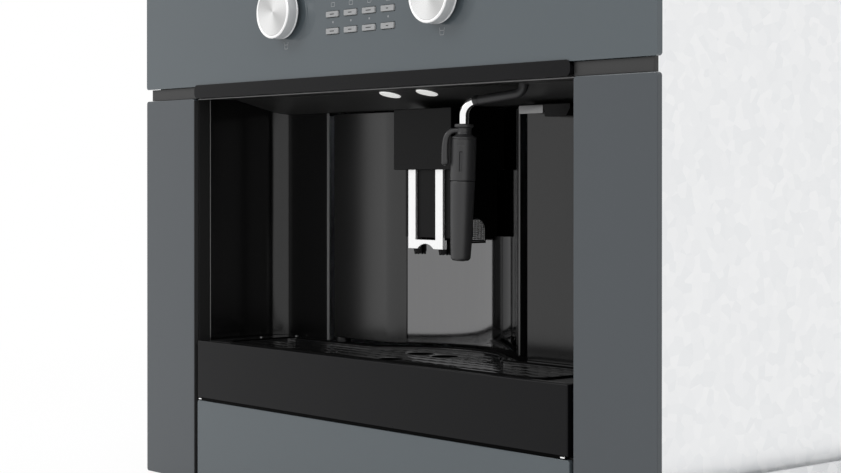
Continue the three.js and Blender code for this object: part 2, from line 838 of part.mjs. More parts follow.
function spoutTrim() {
  const outline = new THREE.Shape();
  const scallopRadius = (scallopHalf ** 2 + scallopHigh ** 2) / (2 * scallopHigh);
  const scallopTurn = Math.asin(scallopHalf / scallopRadius);
  outline.moveTo(-trimHalf, trimBottom);
  outline.absarc(
    0, trimBottom + scallopHigh - scallopRadius, scallopRadius,
    0.5 * Math.PI + scallopTurn, 0.5 * Math.PI - scallopTurn, true);
  outline.lineTo(trimHalf, trimBottom);
  outline.lineTo(trimHalf, sliderTop);
  outline.lineTo(trimHalf - trimLeg, sliderTop);
  outline.lineTo(trimHalf - trimLeg, trimBottom + trimCross);
  outline.lineTo(-trimHalf + trimLeg, trimBottom + trimCross);
  outline.lineTo(-trimHalf + trimLeg, sliderTop);
  outline.lineTo(-trimHalf, sliderTop);
  outline.lineTo(-trimHalf, trimBottom);
  const back = sliderFront - gap;
  const returns = [-1, 1].map((side) => {
    const ends = [side * (trimHalf - trimReturn), side * trimHalf].sort((a, b) => a - b);
    return block(ends, [back - trimThick / 2, back + trimReturnDeep], [trimBottom, trimBottom + trimCross]);
  });
  return join(alongY(outline, back - trimThick, back, 10), ...returns);
}

function nozzle() {
  return turnedUpright([
    [0, nozzleBottom + nozzleBoreDeep], [nozzleBore, nozzleBottom + nozzleBoreDeep], [nozzleBore, nozzleBottom],
    [nozzleRadius - 0.4, nozzleBottom], [nozzleRadius, nozzleBottom + 2], [nozzleRadius, sliderBottom - gap],
    [0, sliderBottom - gap],
  ], 0, 0, 20);
}

// ---- steam pipe and frother ----

function steamPipe() {
  const reach = new THREE.Vector2(wandX - wandExitX, wandY - wandExitY);
  const along = (share, z) => new THREE.Vector3(wandExitX + share * reach.x, wandExitY + share * reach.y, z);
  const length = reach.length();
  const [bend, endBend] = [pipeBend / length, pipeEndBend / length];
  const [high, low] = [pipeElbow, pipeElbow - pipeDrop];
  // quarter bends of radius pipeBend where the pipe leaves the ceiling and pipeEndBend where it turns down again
  const steps = [0, 0.25, 0.5, 0.75, 1].map((part) => part * 0.5 * Math.PI);
  const first = steps.map((turned) => along(bend * (1 - Math.cos(turned)), high + pipeBend * (1 - Math.sin(turned))));
  const second = steps.map((turned) => along(1 - endBend * (1 - Math.sin(turned)), low - pipeEndBend * (1 - Math.cos(turned))));
  const path = new THREE.CatmullRomCurve3(
    [along(0, pipeTop), ...first, ...second, along(1, frotherTop + gap)], false, 'centripetal');
  const section = new THREE.Shape();
  const sides = 12;
  for (let i = 0; i < sides; i += 1) {
    const turned = (i / sides) * 2 * Math.PI;
    section[i ? 'lineTo' : 'moveTo'](pipeRadius * Math.cos(turned), pipeRadius * Math.sin(turned));
  }
  const tube = solid(new THREE.ExtrudeGeometry(section, { steps: 44, bevelEnabled: false, extrudePath: path }));
  const collarLow = ceilingFront + wallThick + gap;
  return join(tube, post(wandExitX, wandExitY, pipeCollarRadius, collarLow, collarLow + pipeCollarThick));
}

function frotherBody() {
  const collarLow = frotherTop - frotherCollarThick;
  const body = turnedUpright([
    [0, frotherSpigotBottom], [frotherSpigot, frotherSpigotBottom], [frotherSpigot, frotherSeam + gap],
    [frotherRadius - gap, frotherSeam + gap], [frotherRadius, frotherShoulder - 3], [frotherRadius, frotherShoulder - 1],
    [frotherRadius - 1, frotherShoulder], [frotherNeckRadius, frotherShoulder + 1], [frotherNeckRadius, collarLow],
    [frotherCollarRadius, collarLow], [frotherCollarRadius, frotherTop], [0, frotherTop],
  ], 0, 0, 20);
  const outline = new THREE.Shape();
  outline.moveTo(frotherNeckRadius - 1, frotherTop - 0.5);
  outline.bezierCurveTo(tabReach * 0.75, frotherTop, tabReach, frotherShoulder, tabReach, tabBottom + tabThick / 2);
  outline.absarc(tabReach - tabThick / 2, tabBottom + tabThick / 2, tabThick / 2, 0, -Math.PI, true);
  outline.bezierCurveTo(
    tabReach - tabThick, frotherShoulder - 4, tabReach - tabThick - 1, frotherShoulder + 2,
    frotherNeckRadius - 1, collarLow - 4);
  const tab = new THREE.ExtrudeGeometry(outline, { depth: tabWide, bevelEnabled: false, curveSegments: 6 });
  tab.translate(0, 0, -tabWide / 2).rotateX(Math.PI / 2).rotateZ(Math.PI + tabTurn);
  return join(body, solid(tab));
}

const tabTurn = 49.3 * Math.PI / 180; // the tab points forwards and to the left

function frotherSleeve() {
  return turnedUpright([
    [frotherSpigot + gap, frotherSeam], [frotherRadius - gap, frotherSeam],
    [frotherBottomRadius + sleeveTaper, frotherBottom + sleeveTaperHigh], [frotherBottomRadius, frotherBottom + 2.5],
    [frotherBottomRadius - 2.5, frotherBottom], [frotherOutlet, frotherBottom],
    [frotherOutlet, frotherSpigotBottom - sleevePlay], [frotherSpigot + gap, frotherSpigotBottom - sleevePlay],
    [frotherSpigot + gap, frotherSeam],
  ], 0, 0, 20);
}

// ---- drip tray ----

// Plan outline with straight front and sides, and a rear that bulges round in the middle.
function bulgedPlan({ half, front, rear, bulgeY, bulgeRadius, fillet, corner }) {
  const filletX = filletPlace(rear, fillet, bulgeY, bulgeRadius);
  const turn = Math.atan2(rear + fillet - bulgeY, filletX);
  const outline = new THREE.Shape();
  outline.absarc(-half + corner, front + corner, corner, Math.PI, 1.5 * Math.PI, false);
  outline.absarc(half - corner, front + corner, corner, -0.5 * Math.PI, 0, false);
  outline.absarc(half - corner, rear - corner, corner, 0, 0.5 * Math.PI, false);
  outline.absarc(filletX, rear + fillet, fillet, -0.5 * Math.PI, turn - Math.PI, true);
  outline.absarc(0, bulgeY, bulgeRadius, turn, Math.PI - turn, false);
  outline.absarc(-filletX, rear + fillet, fillet, -turn, -0.5 * Math.PI, true);
  outline.absarc(-half + corner, rear - corner, corner, 0.5 * Math.PI, Math.PI, false);
  return outline;
}

function gridPlan(grow) {
  return bulgedPlan({
    half: gridHalf + grow,
    front: gridFront - grow,
    rear: gridRear + grow,
    bulgeY: gridBulgeTop - gridBulgeRadius,
    bulgeRadius: gridBulgeRadius + grow,
    fillet: gridFillet - grow,
    corner: gridCorner + grow,
  });
}

function trayTub() {
  const outer = bulgedPlan({
    half: trayHalf,
    front: trayFrontThick + gap,
    rear: trayRear,
    bulgeY: recessY,
    bulgeRadius: recessRadius - trayClear,
    fillet: trayFillet,
    corner: trayCorner,
  });
  const low = floorTop + gap;
  const seat = gridTop - gridThick - gap;
  return join(
    cut(
      alongZ(outer, low, trayTop, 6),
      alongZ(gridPlan(gridSlack), seat, trayTop + gap, 6),
      alongZ(gridPlan(-gridLedge), low + trayFloor, seat + gap, 6)),
    post(floatX, floatY, floatPostRadius, low + trayFloor / 2, floatPostTop, 12));
}

function trayFront() {
  return alongY(rounded(-trayFrontHalf, trayFrontBottom, trayFrontHalf, trayTop, 1), 0, trayFrontThick, 3);
}

// Slot centres on a square lattice, kept inside the grid and clear of its round holes.
function slotPlaces() {
  const places = [];
  const bulgeY = gridBulgeTop - gridBulgeRadius;
  const rounds = [[-nozzleX, nozzleY, drainRadius], [nozzleX, nozzleY, drainRadius], [floatX, floatY, floatHoleRadius]];
  const columns = Math.floor((gridHalf - slotMargin - slotLong / 2) / slotPitch + 0.5);
  const rows = Math.floor((gridBulgeTop - slotMargin - slotFirstRow) / slotPitch);
  for (let row = 0; row <= rows; row += 1) {
    const y = slotFirstRow + row * slotPitch;
    for (let column = -columns; column < columns; column += 1) {
      const x = (column + 0.5) * slotPitch;
      const reach = Math.abs(x) + slotLong / 2;
      const inFlat = y + slotWide / 2 < gridRear - slotMargin / 2;
      const inBulge = Math.hypot(reach, y - bulgeY) < gridBulgeRadius - slotMargin;
      const free = rounds.every(([cx, cy, r]) => Math.hypot(x - cx, y - cy) > r + slotLong / 2 + 1.2);
      if (free && (inFlat || inBulge)) places.push([x, y]);
    }
  }
  return places;
}

function dripGrid() {
  const [low, high] = [gridTop - gridThick, gridTop];
  const slots = slotPlaces().map(([x, y]) =>
    block([x - slotLong / 2, x + slotLong / 2], [y - slotWide / 2, y + slotWide / 2], [low - gap, high + gap]));
  return cut(
    alongZ(gridPlan(0), low, high, 8), ...slots,
    post(-nozzleX, nozzleY, drainRadius, low - gap, high + gap),
    post(nozzleX, nozzleY, drainRadius, low - gap, high + gap),
    post(floatX, floatY, floatHoleRadius, low - gap, high + gap));
}

function trayFloat() {
  const low = floorTop + gap + trayFloor + gap;
  const bore = floatPostRadius + gap;
  return turnedUpright([
    [bore, low], [floatRadius, low], [floatRadius, floatTop - 1], [floatRadius - 1, floatTop],
    [0, floatTop], [0, floatPostTop + 1], [bore, floatPostTop + 1], [bore, low],
  ], floatX, floatY, 20);
}

// ---- hopper, lid and grinder ----

// A square funnel: half width at the top and at the bottom.
function funnel(halfTop, halfLow, low, high) {
  const root = Math.SQRT2;
  const shape = new THREE.CylinderGeometry(halfTop * root, halfLow * root, high - low, 4);
  shape.rotateY(Math.PI / 4).rotateX(Math.PI / 2);
  return solid(shape.translate(hopperX, hopperY, (low + high) / 2));
}

const rimTop = bodyTop - sheet - gap;

function beanHopper() {
  const rim = hopperHalf + hopperRim;
  const shell = cut(
    join(
      funnel(hopperHalf, hopperOutlet + hopperWall, hopperLow, rimTop),
      block([hopperX - rim, hopperX + rim], [hopperY - rim, hopperY + rim], [rimTop - hopperWall, rimTop])),
    funnel(hopperHalf - hopperWall, hopperOutlet, hopperLow - gap, rimTop + gap));
  return shell;
}

function hopperLid() {
  const plug = hopperHalf - 2 * hopperWall;
  const front = hopperY - lidHalf;
  const lidTop = lidLow + lidThick;
  const plate = block([hopperX - lidHalf, hopperX + lidHalf], [front, lidBack - lidSetBack], [lidLow, lidTop]);
  const knuckles = [-1, 1].map((side) => {
    const middle = hopperX + side * knuckleX;
    const ends = [middle - knuckleLong / 2, middle + knuckleLong / 2];
    const pinEnds = [middle, middle + side * (knuckleLong / 2 + gap + lugLong)].sort((a, b) => a - b);
    return join(
      alongX(circle(lidBack, lidAxisZ, knuckleRadius), ...ends, 8),
      block(ends, [lidBack - 2 * lidSetBack, lidBack], [lidLow, lidTop]),
      alongX(circle(lidBack, lidAxisZ, lidPinRadius), ...pinEnds, 6));
  });
  const under = block(
    [hopperX - plug, hopperX + plug], [hopperY - plug + lidPlug, hopperY + plug - lidPlug * 2],
    [lidLow - lidPlug, lidLow + gap]);
  return join(plate, under, ...knuckles);
}

function grinder() {
  const top = hopperLow - gap;
  const half = chuteWide / 2;
  return join(
    post(hopperX, hopperY, grinderRadius, grinderLow, top),
    block([hopperX, -brewHalf - gap], [hopperY - half, hopperY + half], [brewTop - 2 * chuteHigh, brewTop - chuteHigh]));
}

// ---- brew unit and grounds container ----

function brewUnit() {
  const plateBack = brewPlateFront + brewPlateThick;
  const funnelHalf = brewHalf / 2;
  return join(
    block([-brewHalf, brewHalf], [brewPlateFront, plateBack], [bodyLow + sheet + gap, brewTop]),
    block([-brewHalf, brewHalf], [brewY, brewPlateFront + 1], [brewLow, brewTop]),
    post(0, brewY, brewRadius, brewLow, brewTop - chuteHigh, 28),
    block([-funnelHalf, funnelHalf], [brewY - funnelHalf, brewY + funnelHalf], [brewTop - 2 * chuteHigh, brewTop]));
}

function groundsContainer() {
  const low = floorTop + gap;
  return cut(
    block([-binHalf, binHalf], [binFront, binBack], [low, binTop]),
    block([-binHalf + binWall, binHalf - binWall], [binFront + binWall, binBack - binWall], [low + binWall, binTop + gap]));
}

// ---- water and heating ----

function waterTank() {
  const inside = tankWall;
  return cut(
    alongZ(rounded(tankLeft, tankNear, tankRight, tankFar, tankCorner), tankLow, tankHeight, 6),
    alongZ(rounded(tankLeft + inside, tankNear + inside, tankRight - inside, tankFar - inside, tankCorner - inside),
      tankLow + tankWall, tankHeight + gap, 6));
}

function tankSeat() {
  const top = tankLow - gap;
  const inner = coverInner - gap;
  return join(
    block([tankLeft, inner], [tankNear, tankFar], [top - seatThick, top]),
    block([inner - sheet, inner], [tankNear, tankFar], [top - seatDrop, top]));
}

function boiler() {
  const back = bodyBack - sheet - gap;
  return join(
    turnedForward([[0, boilerFront], [boilerRadius - 4, boilerFront], [boilerRadius, boilerFront + 4],
      [boilerRadius, back - 1], [0, back - 1]], boilerX, boilerZ, 28),
    block([boilerX - boilerRadius, boilerX + boilerRadius], [back - boilerFlange, back],
      [boilerZ - boilerRadius, boilerZ + boilerRadius]));
}

function waterPump() {
  const low = bodyLow + sheet + gap;
  return join(
    alongX(circle(pumpY, pumpAxisZ, pumpRadius), pumpX - pumpLong / 2, pumpX + pumpLong / 2, 10),
    block([pumpX - pumpLong / 3, pumpX + pumpLong / 3], [pumpY - pumpRadius, pumpY + pumpRadius], [low, pumpAxisZ]));
}

// ---- mains inlet and its switch ----

const rockerY = bodyBack + inletFlangeThick - rockerSetBack;

function mainsInlet() {
  const outer = bodyBack + gap;
  const face = outer + inletFlangeThick;
  const front = bodyBack - inletDeep;
  const rim = inletHalf + inletFlange;
  const rockerRoom = rockerRadius + 1.2;
  return cut(
    join(
      block([inletX - inletHalf, inletX + inletHalf], [front, outer + gap], [inletBottom, inletTop]),
      block([inletX - rim, inletX + rim], [outer, face], [inletBottom - inletFlange, inletTop + inletFlange])),
    block([inletX - socketHalf, inletX + socketHalf], [face - socketDeep, face + gap], [socketLow, socketHigh]),
    block([inletX - rockerHalf - gap, inletX + rockerHalf + gap], [rockerY - rockerRoom, face + gap],
      [rockerZ - rockerRoom, rockerZ + rockerRoom]));
}

function switchRocker() {
  const front = rockerSetBack - 1;
  const outline = new THREE.Shape();
  outline.moveTo(front, -rockerRadius + 1);
  outline.lineTo(front - 1.3, 0);
  outline.lineTo(front, rockerRadius - 1);
  outline.absarc(0, 0, rockerRadius, 0.5 * Math.PI, 1.5 * Math.PI, false);
  outline.lineTo(front, -rockerRadius + 1);
  const body = new THREE.ExtrudeGeometry(outline, { depth: 2 * rockerHalf, bevelEnabled: false, curveSegments: 10 });
  body.applyMatrix4(sideToWorld).rotateX(-rockerTilt * Math.PI / 180);
  return solid(body.translate(inletX - rockerHalf, rockerY, rockerZ));
}

// ---- the assembly ----

const [left, right] = [runners(-1), runners(1)];

const cabinetSide = group(
  mesh('base_plate', basePlate(), zincSheet),
  mesh('runner_outer_left', left.outer, zincSheet),
  mesh('runner_outer_right', right.outer, zincSheet));

const runnerMiddle = group(
  mesh('runner_middle_left', left.middle, zincSheet),
  mesh('runner_middle_right', right.middle, zincSheet));

const casing = group(
  mesh('runner_inner_left', left.inner, zincSheet),
  mesh('runner_inner_right', right.inner, zincSheet),
  mesh('chassis', chassis(), zincSheet),
  mesh('side_cover_left', sideCover(-1), zincSheet),
  mesh('side_cover_right', sideCover(1), zincSheet),
  mesh('top_cover', topCover(), zincSheet),
  mesh('front_frame', frontFrame(), blackPlastic),
  mesh('control_glass', controlGlass(), greyGlass),
  mesh('side_glass_left', sideGlass(-1), greyGlass),
  mesh('side_glass_right', sideGlass(1), greyGlass),
  mesh('lower_glass', lowerGlass(), greyGlass),
  mesh('trim_bar', trimBar(), glossBlack));

const niche = group(
  mesh('niche_wall_left', nicheWall(-1, doorLeft - leftWallGap), glossBlack),
  mesh('niche_wall_right', nicheWall(1, doorRight + rightWallGap), glossBlack),
  mesh('niche_ceiling', nicheCeiling(), glossBlack),
  mesh('niche_floor', nicheFloor(), blackPlastic),
  mesh('wand_rest', wandRest(), blackPlastic),
  mesh('lamp_lens_left', lampLens(lampMid - lampX), lampGlass),
  mesh('lamp_lens_right', lampLens(lampMid + lampX), lampGlass));

const inside = group(
  mesh('control_board', controlBoard(), boardGreen),
  mesh('bean_hopper', beanHopper(), clearPlastic),
  mesh('grinder', grinder(), castAlloy),
  mesh('brew_unit', brewUnit(), blackPlastic),
  mesh('grounds_container', groundsContainer(), blackPlastic),
  mesh('tank_seat', tankSeat(), blackPlastic),
  mesh('boiler', boiler(), castAlloy),
  mesh('water_pump', waterPump(), castAlloy),
  mesh('mains_inlet', mainsInlet(), blackPlastic));

const door = group(
  mesh('service_door', serviceDoor(), glossBlack),
  mesh('recess_insert', recessInsert(), darkSteel),
  mesh('spout_housing', spoutHousing(), blackPlastic));

const carriage = group(
  mesh('spout_slider', spoutSlider(), blackPlastic),
  mesh('spout_trim', spoutTrim(), brightSteel),
  ['left', 'right'].map((name, i) => {
    const piece = mesh(`nozzle_${name}`, nozzle(), blackPlastic);
    piece.position.set((2 * i - 1) * nozzleX, nozzleY, 0);
    return piece;
  }));

const frother = group(
  mesh('frother_body', frotherBody(), greyPlastic),
  mesh('frother_sleeve', frotherSleeve(), greyPlastic));
const leanTurn = new THREE.Quaternion().setFromAxisAngle(
  new THREE.Vector3(-Math.sin(tabTurn), Math.cos(tabTurn), 0), frotherLean * Math.PI / 180);
const hung = new THREE.Vector3(0, 0, frotherTop);
frother.quaternion.copy(leanTurn);
frother.position.set(wandX, wandY, frotherTop).sub(hung.applyQuaternion(leanTurn));

const tray = group(
  mesh('drip_tray', trayTub(), blackPlastic),
  mesh('tray_front', trayFront(), glossBlack),
  mesh('drip_grid', dripGrid(), glossBlack),
  mesh('tray_float', trayFloat(), floatRed));

const knobs = group(['left', 'right'].map((name, i) => {
  const piece = mesh(`knob_${name}`, knob(), satinSteel);
  piece.position.set((2 * i - 1) * knobX, 0, knobZ);
  return piece;
}));

const keys = group(keyPlaces.map(([x, z], i) => {
  const piece = mesh(`key_${i + 1}`, key(), keyPlastic);
  piece.position.set(x, 0, z);
  return piece;
}));

const machine = group(
  cabinetSide, runnerMiddle, casing, niche, inside, door, carriage, frother, tray, knobs, keys,
  mesh('steam_pipe', steamPipe(), brightSteel),
  mesh('hopper_lid', hopperLid(), blackPlastic),
  mesh('water_tank', waterTank(), clearPlastic),
  mesh('switch_rocker', switchRocker(), blackPlastic));
machine.position.y = (knobFront - rearmost) / 2;

export default machine;
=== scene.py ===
import json
import math

import bmesh
import bpy
import numpy as np
from mathutils import Matrix, Vector


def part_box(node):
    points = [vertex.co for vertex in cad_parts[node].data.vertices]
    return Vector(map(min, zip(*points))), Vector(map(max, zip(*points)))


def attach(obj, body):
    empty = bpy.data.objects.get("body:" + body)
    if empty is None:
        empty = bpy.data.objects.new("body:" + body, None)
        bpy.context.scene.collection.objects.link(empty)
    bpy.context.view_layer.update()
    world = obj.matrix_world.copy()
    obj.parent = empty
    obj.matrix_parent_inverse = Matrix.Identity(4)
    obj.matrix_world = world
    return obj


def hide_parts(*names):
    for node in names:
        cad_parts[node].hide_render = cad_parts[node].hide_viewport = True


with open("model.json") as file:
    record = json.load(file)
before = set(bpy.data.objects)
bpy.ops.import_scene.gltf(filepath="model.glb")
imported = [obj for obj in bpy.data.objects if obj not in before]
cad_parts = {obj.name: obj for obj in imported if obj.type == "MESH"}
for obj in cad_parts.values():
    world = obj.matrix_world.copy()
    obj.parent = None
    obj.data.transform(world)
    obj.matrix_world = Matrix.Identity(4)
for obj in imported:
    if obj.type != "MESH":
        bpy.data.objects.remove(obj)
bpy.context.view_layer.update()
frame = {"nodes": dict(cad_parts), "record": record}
nodes = frame["nodes"]
mm = 0.001
glassY = float(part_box("control_glass")[0][1])  # plane of the front glass
mergeReach = 2e-6  # metres within which two corners of a mesh are one
bodyOf = {node: body for body, names in frame["record"]["behaviour"]["bodies"].items() for node in names}
print("frame loaded:", len(nodes), "nodes")


def addObject(name, data):
    thing = bpy.data.objects.new(name, data)
    bpy.context.collection.objects.link(thing)
    return thing


# shader nodes in short: their settings, and what goes into their sockets


def feed(tree, sockets, values):
    # numbers, colours and other nodes' outlets given to sockets by label
    for label, value in values.items():
        if isinstance(value, bpy.types.NodeSocket):
            tree.links.new(value, sockets[label])
        else:
            sockets[label].default_value = value


def addNode(tree, kind, values=None, **settings):
    node = tree.nodes.new("ShaderNode" + kind)
    for label, value in settings.items():
        setattr(node, label, value)
    feed(tree, node.inputs, values or {})
    return node


def mathNode(tree, operation, first, second=None, clamp=False):
    values = {0: first} if second is None else {0: first, 1: second}
    return addNode(tree, "Math", values, operation=operation, use_clamp=clamp).outputs[0]


def vectorNode(tree, operation, first, second):
    return addNode(tree, "VectorMath", {0: first, 1: second}, operation=operation).outputs[0]


def mixColour(tree, share, first, second):
    return addNode(tree, "Mix", {0: share, 6: first, 7: second}, data_type="RGBA").outputs[2]


def noiseMask(tree, values, **settings):
    return addNode(tree, "TexNoise", values, **settings).outputs["Fac"]


def bumpNormal(tree, height, strength, distance):
    return addNode(tree, "Bump", {"Height": height, "Strength": strength, "Distance": distance}).outputs[0]


def varied(tree, mask, amount, base, clamp=True):
    # base + amount (mask - 1/2)
    drift = mathNode(tree, "MULTIPLY", mathNode(tree, "SUBTRACT", mask, 0.5), amount)
    return mathNode(tree, "ADD", drift, base, clamp)


# the camera stands where the photograph's did

view = {"place": (1.0686, -0.8566, 0.2565), "yaw": 49.388, "pitch": -0.22, "focalPixels": 1826.1, "imageWidth": 841.0,
        "filmWidth": 36.0, "shiftY": -0.06, "clip": (0.05, 60.0)}


def addCamera():
    data = bpy.data.cameras.new("photoCamera")
    data.sensor_fit = "HORIZONTAL"
    data.sensor_width = view["filmWidth"]
    data.lens = view["filmWidth"] * view["focalPixels"] / view["imageWidth"]
    data.shift_y = view["shiftY"]
    data.clip_start, data.clip_end = view["clip"]
    camera = addObject("photoCamera", data)
    x, y, z = view["place"]
    camera.location = (x, y + glassY, z)
    yaw, pitch = math.radians(view["yaw"]), math.radians(view["pitch"])
    look = Vector((-math.sin(yaw) * math.cos(pitch), math.cos(yaw) * math.cos(pitch), math.sin(pitch)))
    camera.rotation_euler = look.to_track_quat("-Z", "Y").to_euler()
    bpy.context.scene.camera = camera


studio = {
    "white": (1.0, 1.0, 1.0, 1.0),
    "worldLight": 0.62,
    "floorColour": (0.9, 0.9, 0.9, 1.0),
    "floorGlow": 0.88,  # share of the floor near the object that is seen as plain white
    "floorFade": (0.35, 1.5),  # metres over which that share rises to all of it
    "floorHalf": 14.0,
    "floorDrop": 0.0002,
    "lamps": [  # name, place, aim, width, height, watts
        ("keySoft", (-1.6, -2.6, 2.2), (0.0, -0.2, 0.25), 1.6, 1.6, 42.0),
        ("fillSoft", (2.6, -1.6, 1.6), (0.0, -0.2, 0.25), 1.4, 1.8, 16.0),
        ("topSoft", (0.0, 0.2, 2.8), (0.0, 0.0, 0.2), 2.2, 2.2, 22.0),
    ],
}


def addWorld():
    # white to the eye, in mirrors and through glass, and a soft light to everything else
    world = bpy.data.worlds.new("whiteStudio")
    bpy.context.scene.world = world
    world.use_nodes = True
    tree = world.node_tree
    tree.nodes.clear()
    seen = addNode(tree, "Background", {"Color": studio["white"], "Strength": 1.0})
    light = addNode(tree, "Background", {"Color": studio["white"], "Strength": studio["worldLight"]})
    path = addNode(tree, "LightPath").outputs
    either = mathNode(tree, "MAXIMUM", path["Is Camera Ray"], path["Is Glossy Ray"])
    anyRay = mathNode(tree, "MAXIMUM", either, path["Is Transmission Ray"])
    mix = addNode(tree, "MixShader", {0: anyRay, 1: light.outputs[0], 2: seen.outputs[0]})
    addNode(tree, "OutputWorld", {"Surface": mix.outputs[0]})


def addFloor():
    # white as seen, with the object's shadow kept on it
    half = studio["floorHalf"]
    mesh = bpy.data.meshes.new("floor")
    mesh.from_pydata([(-half, -half, 0), (half, -half, 0), (half, half, 0), (-half, half, 0)], [], [(0, 1, 2, 3)])
    floor = addObject("floor", mesh)
    floor.location.z = -studio["floorDrop"]
    material = bpy.data.materials.new("paleFloor")
    material.use_nodes = True
    tree = material.node_tree
    tree.nodes.clear()
    matt = addNode(tree, "BsdfDiffuse", {"Color": studio["floorColour"]})
    glow = addNode(tree, "Emission", {"Strength": 1.0})
    path = addNode(tree, "LightPath").outputs
    coords = addNode(tree, "TexCoord")
    away = addNode(tree, "VectorMath", {0: coords.outputs["Object"]}, operation="LENGTH")
    near, far = studio["floorFade"]
    fade = addNode(tree, "MapRange", {"Value": away.outputs["Value"], "From Min": near, "From Max": far,
                                      "To Min": studio["floorGlow"], "To Max": 1.0})
    either = mathNode(tree, "MAXIMUM", path["Is Camera Ray"], path["Is Glossy Ray"])
    share = mathNode(tree, "MULTIPLY", either, fade.outputs["Result"])
    mix = addNode(tree, "MixShader", {0: share, 1: matt.outputs[0], 2: glow.outputs[0]})
    addNode(tree, "OutputMaterial", {"Surface": mix.outputs[0]})
    mesh.materials.append(material)


def addLamps():
    for name, place, aim, width, height, watts in studio["lamps"]:
        data = bpy.data.lights.new(name, "AREA")
        data.shape = "RECTANGLE"
        data.size = width
        data.size_y = height
        data.energy = watts
        lamp = addObject(name, data)
        lamp.location = place
        lamp.rotation_euler = (Vector(aim) - Vector(place)).to_track_quat("-Z", "Y").to_euler()


bpy.context.scene.view_settings.view_transform = "Standard"
addCamera()
addWorld()
addFloor()
addLamps()
print("camera and studio made")

# effects that several finishes use


def newGroup(name, inputs, outputs):
    # inputs are labels and first values, outputs are labels and kinds
    tree = bpy.data.node_groups.new(name, "ShaderNodeTree")
    for label, value in inputs.items():
        kind = "Float" if isinstance(value, float) else {3: "Vector", 4: "Color"}[len(value)]
        tree.interface.new_socket(label, in_out="INPUT", socket_type="NodeSocket" + kind).default_value = value
    for label, kind in outputs.items():
        tree.interface.new_socket(label, in_out="OUTPUT", socket_type="NodeSocket" + kind)
    given = tree.nodes.new("NodeGroupInput").outputs
    out = tree.nodes.new("NodeGroupOutput").inputs
    return tree, given, out, addNode(tree, "TexCoord").outputs["Object"]


def makeMoulded():
    # fine moulded grain: a quick noise gives a normal, a slow one gives handling marks and a drift of the colour
    tree, given, out, place = newGroup(
        "mouldedSkin",
        {"Grain Scale": 900.0, "Grain Height": 0.12, "Base Roughness": 0.4, "Mark Amount": 0.08,
         "Colour": (0.02, 0.02, 0.02, 1.0), "Colour Drift": 0.1},
        {"Normal": "Vector", "Roughness": "Float", "Colour": "Color"})
    fine = noiseMask(tree, {"Vector": place, "Scale": given["Grain Scale"], "Detail": 3.0})
    slow = noiseMask(tree, {"Vector": place, "Scale": 14.0, "Detail": 5.0})
    bright = varied(tree, slow, given["Colour Drift"], 1.0, clamp=False)
    tint = addNode(tree, "VectorMath", {0: given["Colour"], "Scale": bright}, operation="SCALE")
    feed(tree, out, {"Normal": bumpNormal(tree, fine, given["Grain Height"], 0.0002),
                     "Roughness": varied(tree, slow, given["Mark Amount"], given["Base Roughness"]),
                     "Colour": tint.outputs[0]})
    return tree


def makeBrushed():
    # brushed lines: noise stretched along one axis
    tree, given, out, place = newGroup(
        "brushedLines",
        {"Stretch": (30.0, 900.0, 900.0), "Line Height": 0.08, "Base Roughness": 0.25, "Line Contrast": 0.1},
        {"Normal": "Vector", "Roughness": "Float", "Mask": "Float"})
    stretched = vectorNode(tree, "MULTIPLY", place, given["Stretch"])
    lines = noiseMask(tree, {"Vector": stretched, "Scale": 1.0, "Detail": 3.0})
    feed(tree, out, {"Normal": bumpNormal(tree, lines, given["Line Height"], 0.0001),
                     "Roughness": varied(tree, lines, given["Line Contrast"], given["Base Roughness"]),
                     "Mask": lines})
    return tree


def makeSpun():
    # turned rings: the height rises and falls with the distance from the axis, which runs front to back
    tree, given, out, place = newGroup(
        "spunRings",
        {"Centre": (0.0, 0.0, 0.0), "Ring Pitch": 0.00018, "Ring Height": 0.05, "Base Roughness": 0.25,
         "Sheen Fan Turn": 0.9, "Sheen Fan Depth": 0.5},
        {"Normal": "Vector", "Roughness": "Float", "Mask": "Float"})
    shifted = vectorNode(tree, "SUBTRACT", place, given["Centre"])
    flat = vectorNode(tree, "MULTIPLY", shifted, (1.0, 0.0, 1.0))
    radius = addNode(tree, "VectorMath", {0: flat}, operation="LENGTH").outputs["Value"]
    rings = mathNode(tree, "DIVIDE", radius, given["Ring Pitch"])
    jitter = noiseMask(tree, {"W": rings, "Scale": 0.9, "Detail": 2.0}, noise_dimensions="1D")
    # painted sheen: a fan of light and dark about the centre, twice in a turn, stands in for the highlight that spun
    # metal reflects
    parts = addNode(tree, "SeparateXYZ", {0: shifted}).outputs
    turn = mathNode(tree, "ARCTAN2", parts["Z"], parts["X"])
    twice = mathNode(tree, "MULTIPLY", mathNode(tree, "SUBTRACT", turn, given["Sheen Fan Turn"]), 2.0)
    wave = mathNode(tree, "MULTIPLY", mathNode(tree, "SUBTRACT", 1.0, mathNode(tree, "COSINE", twice)), 0.5)
    paintedSheen = mathNode(tree, "MULTIPLY", mathNode(tree, "POWER", wave, 1.6), given["Sheen Fan Depth"])
    feed(tree, out, {"Normal": bumpNormal(tree, jitter, given["Ring Height"], 0.0001),
                     "Roughness": varied(tree, jitter, 0.16, given["Base Roughness"]),
                     # the Mask output here is the painted sheen fan: 1 outside it, lower inside it
                     "Mask": mathNode(tree, "SUBTRACT", 1.0, paintedSheen)})
    return tree


